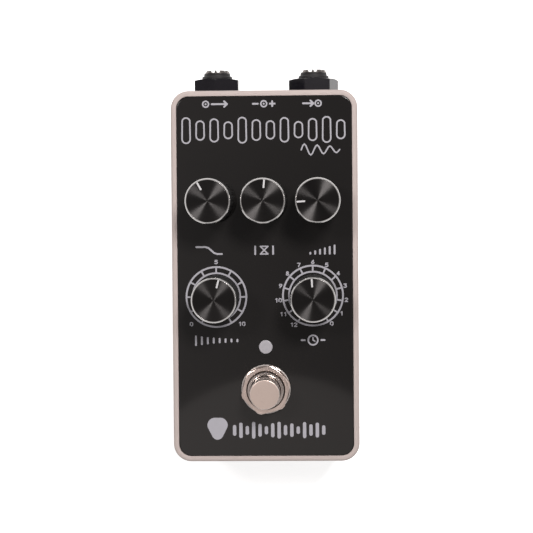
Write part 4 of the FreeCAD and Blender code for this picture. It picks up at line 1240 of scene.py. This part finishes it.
CLOCK = (14.85, LOW_ROW)
row_signs = bars(-21.9, 1.86, centred(LOW_ROW, [1.35 * 0.78**number for number in range(8)]), BAR)
row_signs += [hoop(*CLOCK, 1.75, 1.25, 48)] + line([(0, 0.75), (0, 0), (0.6, -0.35)], FINE_PEN, *CLOCK)
for dash in ([(-3.6, 0), (-2.6, 0)], [(2.6, 0), (3.6, 0)]):
    row_signs += line(dash, PEN, *CLOCK)
print_on_plate("row_signs_print", row_signs)

# %% [markdown]
# ### The band above and the mark below
# Two larger prints give the plate its weight: a band of outlined bars with a small wave under it, and a
# rounded mark beside bars like a sound wave. Their heights are lists of shares, so the rows look alive.

# %% Print the band, the wave and the mark
band = [1.0, 0.62, 0.84, 0.48, 1.0, 0.70, 0.56, 0.92, 0.44, 0.78, 1.0, 0.60]
outlines = bars(-24.4, 4.4, centred(42.05, [2.7 * part for part in band]), 3.0, 0.47)
print_on_plate("outlined_bars_print", outlines)

shares = [number / 24 for number in range(25)]
wave = [(12 * part, 1.9 * math.sin(part * 6 * math.pi) * (1 - 0.55 * part)) for part in shares]
print_on_plate("small_wave_print", line(wave, 0.45, 11.6, 35.75))

sound = [0.55, 0.9, 0.4, 1.0, 0.7, 0.35, 0.8, 1.0, 0.5, 0.75, 0.3, 0.95, 0.6, 0.85, 0.45]
print_on_plate("solid_bars_print", bars(-10, 2.0, centred(-52.15, [2.1 * part for part in sound]), 1.1))

clear_bench()
bpy.ops.mesh.primitive_circle_add(vertices=3, radius=6.2 * mm, fill_type="NGON")
mark = bpy.context.object
open_up(mark)
bpy.ops.mesh.select_all(action="SELECT")
bpy.ops.transform.resize(value=(0.86, 0.98, 1), center_override=(0, 0, 0))
bpy.ops.mesh.bevel(offset=3.5 * mm, segments=10, affect="VERTICES", profile=0.42)
place(mark, (-15.35, -51.2, INK_LOW), (0, 0, 180))
print_on_plate("solid_mark_print", [raise_ink(mark)])

# %% [markdown]
# ## Finishes for the solids that stay
# The rest of the solids keep their shape. Each one takes the finish of its slot from the table below, or zinc
# when it is not in the table, set on the material slots of its object, and nothing of its mesh is touched.

# %% Finish the solids
NODES_OF_SLOT = {
    "board": ["main_board", "jack_board"],
    "ribbon": ["jack_ribbon", "switch_ribbon"],
    "chip_black": ["board_chips", "switch_housing"],
    "film_case": ["board_capacitors"],
    "control_case": [f"{name}_control" for name in CONTROLS],
    "shaft_metal": [f"{name}_shaft" for name in CONTROLS],
    "zinc": [f"{name}_set_screw" for name in CONTROLS] + ["switch_inner_nut", "switch_lock_washer"],
    "copper_alloy": ["switch_lugs", "output_contact", "input_contact"],
    "lens": ["lamp"],
}
finish_of = {node: FINISH_OF_SLOT[slot] for slot, nodes in NODES_OF_SLOT.items() for node in nodes}
shown = []
for name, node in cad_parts.items():
    if node.hide_render:
        continue
    for slot in node.material_slots:
        slot.material = finish_of.get(name, zinc)
    shown.append(name)
print("solids that stay:", shown, "without a finish of their own:", sorted(set(shown) - set(finish_of)))

# %% [markdown]
# ## The studio
# The picture was taken from straight above on a white ground. The camera stands over a point to the right of
# the pedal's middle and beyond it, so tall pieces lean to the left and towards the foot. Its place and its
# small turns were found by laying the render over the photograph until plate, knobs and jacks fell together.

# %% Place the camera
CAMERA_SPOT, CAMERA_TURN = (16.08, 19.13, 435.09), (-1.178, 1.259, -0.451)
view = bpy.data.cameras.new("picture")
camera = bpy.data.objects.new("picture", view)
bpy.context.collection.objects.link(camera)
bpy.context.scene.camera = camera
camera.location = [v * mm for v in CAMERA_SPOT]
camera.rotation_euler = [math.radians(angle) for angle in CAMERA_TURN]
view.lens, view.sensor_width, view.shift_x, view.shift_y = 86.38, 36, -0.04, -0.07
view.clip_start, view.clip_end = 0.01, 20
print("camera at", [round(v, 4) for v in camera.location], "lens", view.lens)

# %% [markdown]
# ### The floor
# The ground is white paper. It shows as white to the camera, to mirrors and through glass, but it throws only
# a paper's light, so the pedal's shadow stays. More light on the set would whiten it too, but it would bleach
# the pedal.

# %% Lay the floor
def looked_at(bench):
    """1 where the camera, a mirror or glass looks, and 0 where the light only falls on something dull."""
    outputs = bench.make("ShaderNodeLightPath").socket.node.outputs
    camera_ray, glossy_ray, glass_ray = [
        Wire(bench.tree, outputs[f"Is {kind} Ray"]) for kind in ("Camera", "Glossy", "Transmission")
    ]
    total = camera_ray + glossy_ray + glass_ray
    total.socket.node.use_clamp = True
    return total


clear_bench()
bpy.ops.mesh.primitive_plane_add(size=8)
floor = bpy.context.object
floor.name = "floor"
paper, bench, where = new_finish("white_paper")
fibre = blend(grain(where, 4, 4.0), (0.80, 0.80, 0.80), (0.84, 0.84, 0.84))
dull = bench.make("ShaderNodeBsdfDiffuse", None, {"Color": fibre})
FLOOR_GLOW = 0.68
shine = bench.make("ShaderNodeEmission", None, {"Strength": looked_at(bench) * FLOOR_GLOW})
surface = bench.make("ShaderNodeAddShader", None, {0: dull, 1: shine})
bench.make("ShaderNodeOutputMaterial", None, {"Surface": surface})
floor.data.materials.append(paper)
print("stage:", floor.name)

# %% [markdown]
# ### The ceiling
# The black plate is a mirror for what hangs over it. A bare white world would turn it grey, so a dim ceiling
# hangs there: darkest over the far end, and lighter far out on both sides. Only mirrors see it, so it takes
# no light away.

# %% Hang the ceiling
clear_bench()
bpy.ops.mesh.primitive_plane_add(size=1)
ceiling = bpy.context.object
ceiling.name = "dim_ceiling"
ceiling.scale = (6.4, 3.2, 1)
place(ceiling, (0, 0, 1050))
finish, bench, where = new_finish("dim_ceiling")
across = where.make("ShaderNodeSeparateXYZ", None, {0: where}, "X")
along = where.make("ShaderNodeSeparateXYZ", None, {0: where}, "Y")
full, over_left, over_right, over_far_end, far_to_side = [
    [tone * part for tone in (0.21, 0.195, 0.19)] for part in (1.0, 1.5, 0.5, 0.3, 2.0)
]
colour = blend(step(across, -0.26, 0.10), over_left, over_right)
colour = blend(step(along, 0.15, 0.45), colour, over_far_end)
colour = blend(step(across * across, 0.05, 0.16), colour, far_to_side)
colour = blend(step(across * across, 1.2, 2.6), colour, full)
emission = bench.make("ShaderNodeEmission", None, {"Color": colour})
bench.make("ShaderNodeOutputMaterial", None, {"Surface": emission})
ceiling.data.materials.append(finish)
ceiling.visible_camera = ceiling.visible_diffuse = ceiling.visible_shadow = False
print("stage:", ceiling.name)

# %% [markdown]
# ### Lamps
# Two soft lamps beyond the far end, one to the right and one to the left, draw the four spokes on each knob
# and the streaks on the nut. A large round glow over the foot of the pedal draws the bright arch on the lower
# half of the plate. A small bare lamp would draw hard dots on the plate instead.

# %% Hang the lamps
AIM = Vector((0, -0.01, 0.03))


def lamp(name, shape, size, spot, radiance, tint, aimed=True):
    """A flat lamp of a size and at a spot in mm, aimed at the pedal or straight down."""
    wide, deep = size
    light = bpy.data.lights.new(name, "AREA")
    light.shape, light.size, light.size_y = shape, wide * mm, deep * mm
    area = (math.pi / 4 if shape == "ELLIPSE" else 1) * wide * deep * mm**2
    light.energy, light.color = radiance * math.pi * area, tint
    stand = bpy.data.objects.new(name, light)
    bpy.context.collection.objects.link(stand)
    stand.location = [v * mm for v in spot]
    if aimed:
        stand.rotation_euler = (AIM - stand.location).to_track_quat("-Z", "Y").to_euler()
    stand.visible_camera = False
    print(f"{name}: {light.energy:.2f} W")


WARM = (1.0, 0.97, 0.95)
lamp("right_softbox", "SQUARE", (205, 205), (*around(0, 0, 470, 32), 800), 49.0, WARM)
lamp("left_softbox", "SQUARE", (160, 160), (*around(0, 0, 470, 305), 800), 25.0, WARM)
lamp("ceiling_glow", "ELLIPSE", (560, 1000), (-27.2, -665, 1000), 0.42, (1.0, 0.92, 0.88), aimed=False)

# %% [markdown]
# ### Light from all round
# The world is pale to the camera and to mirrors, but gives only a third of that as light, enough to fill the
# shadows. At full strength it would wash out the spokes on the knobs.

# %% Light the world
world = bpy.data.worlds.new("studio")
bpy.context.scene.world = world
world.use_nodes = True
world.node_tree.nodes.clear()
bench = Wire(world.node_tree)
seen = looked_at(bench)
FILL_LIGHT = 0.36
background = bench.make("ShaderNodeBackground", None, {"Strength": seen + (1 - seen) * FILL_LIGHT})
bench.make("ShaderNodeOutputWorld", None, {"Surface": background})
bpy.context.scene.view_settings.view_transform = "Standard"
print("world:", world.name, "view:", bpy.context.scene.view_settings.view_transform)
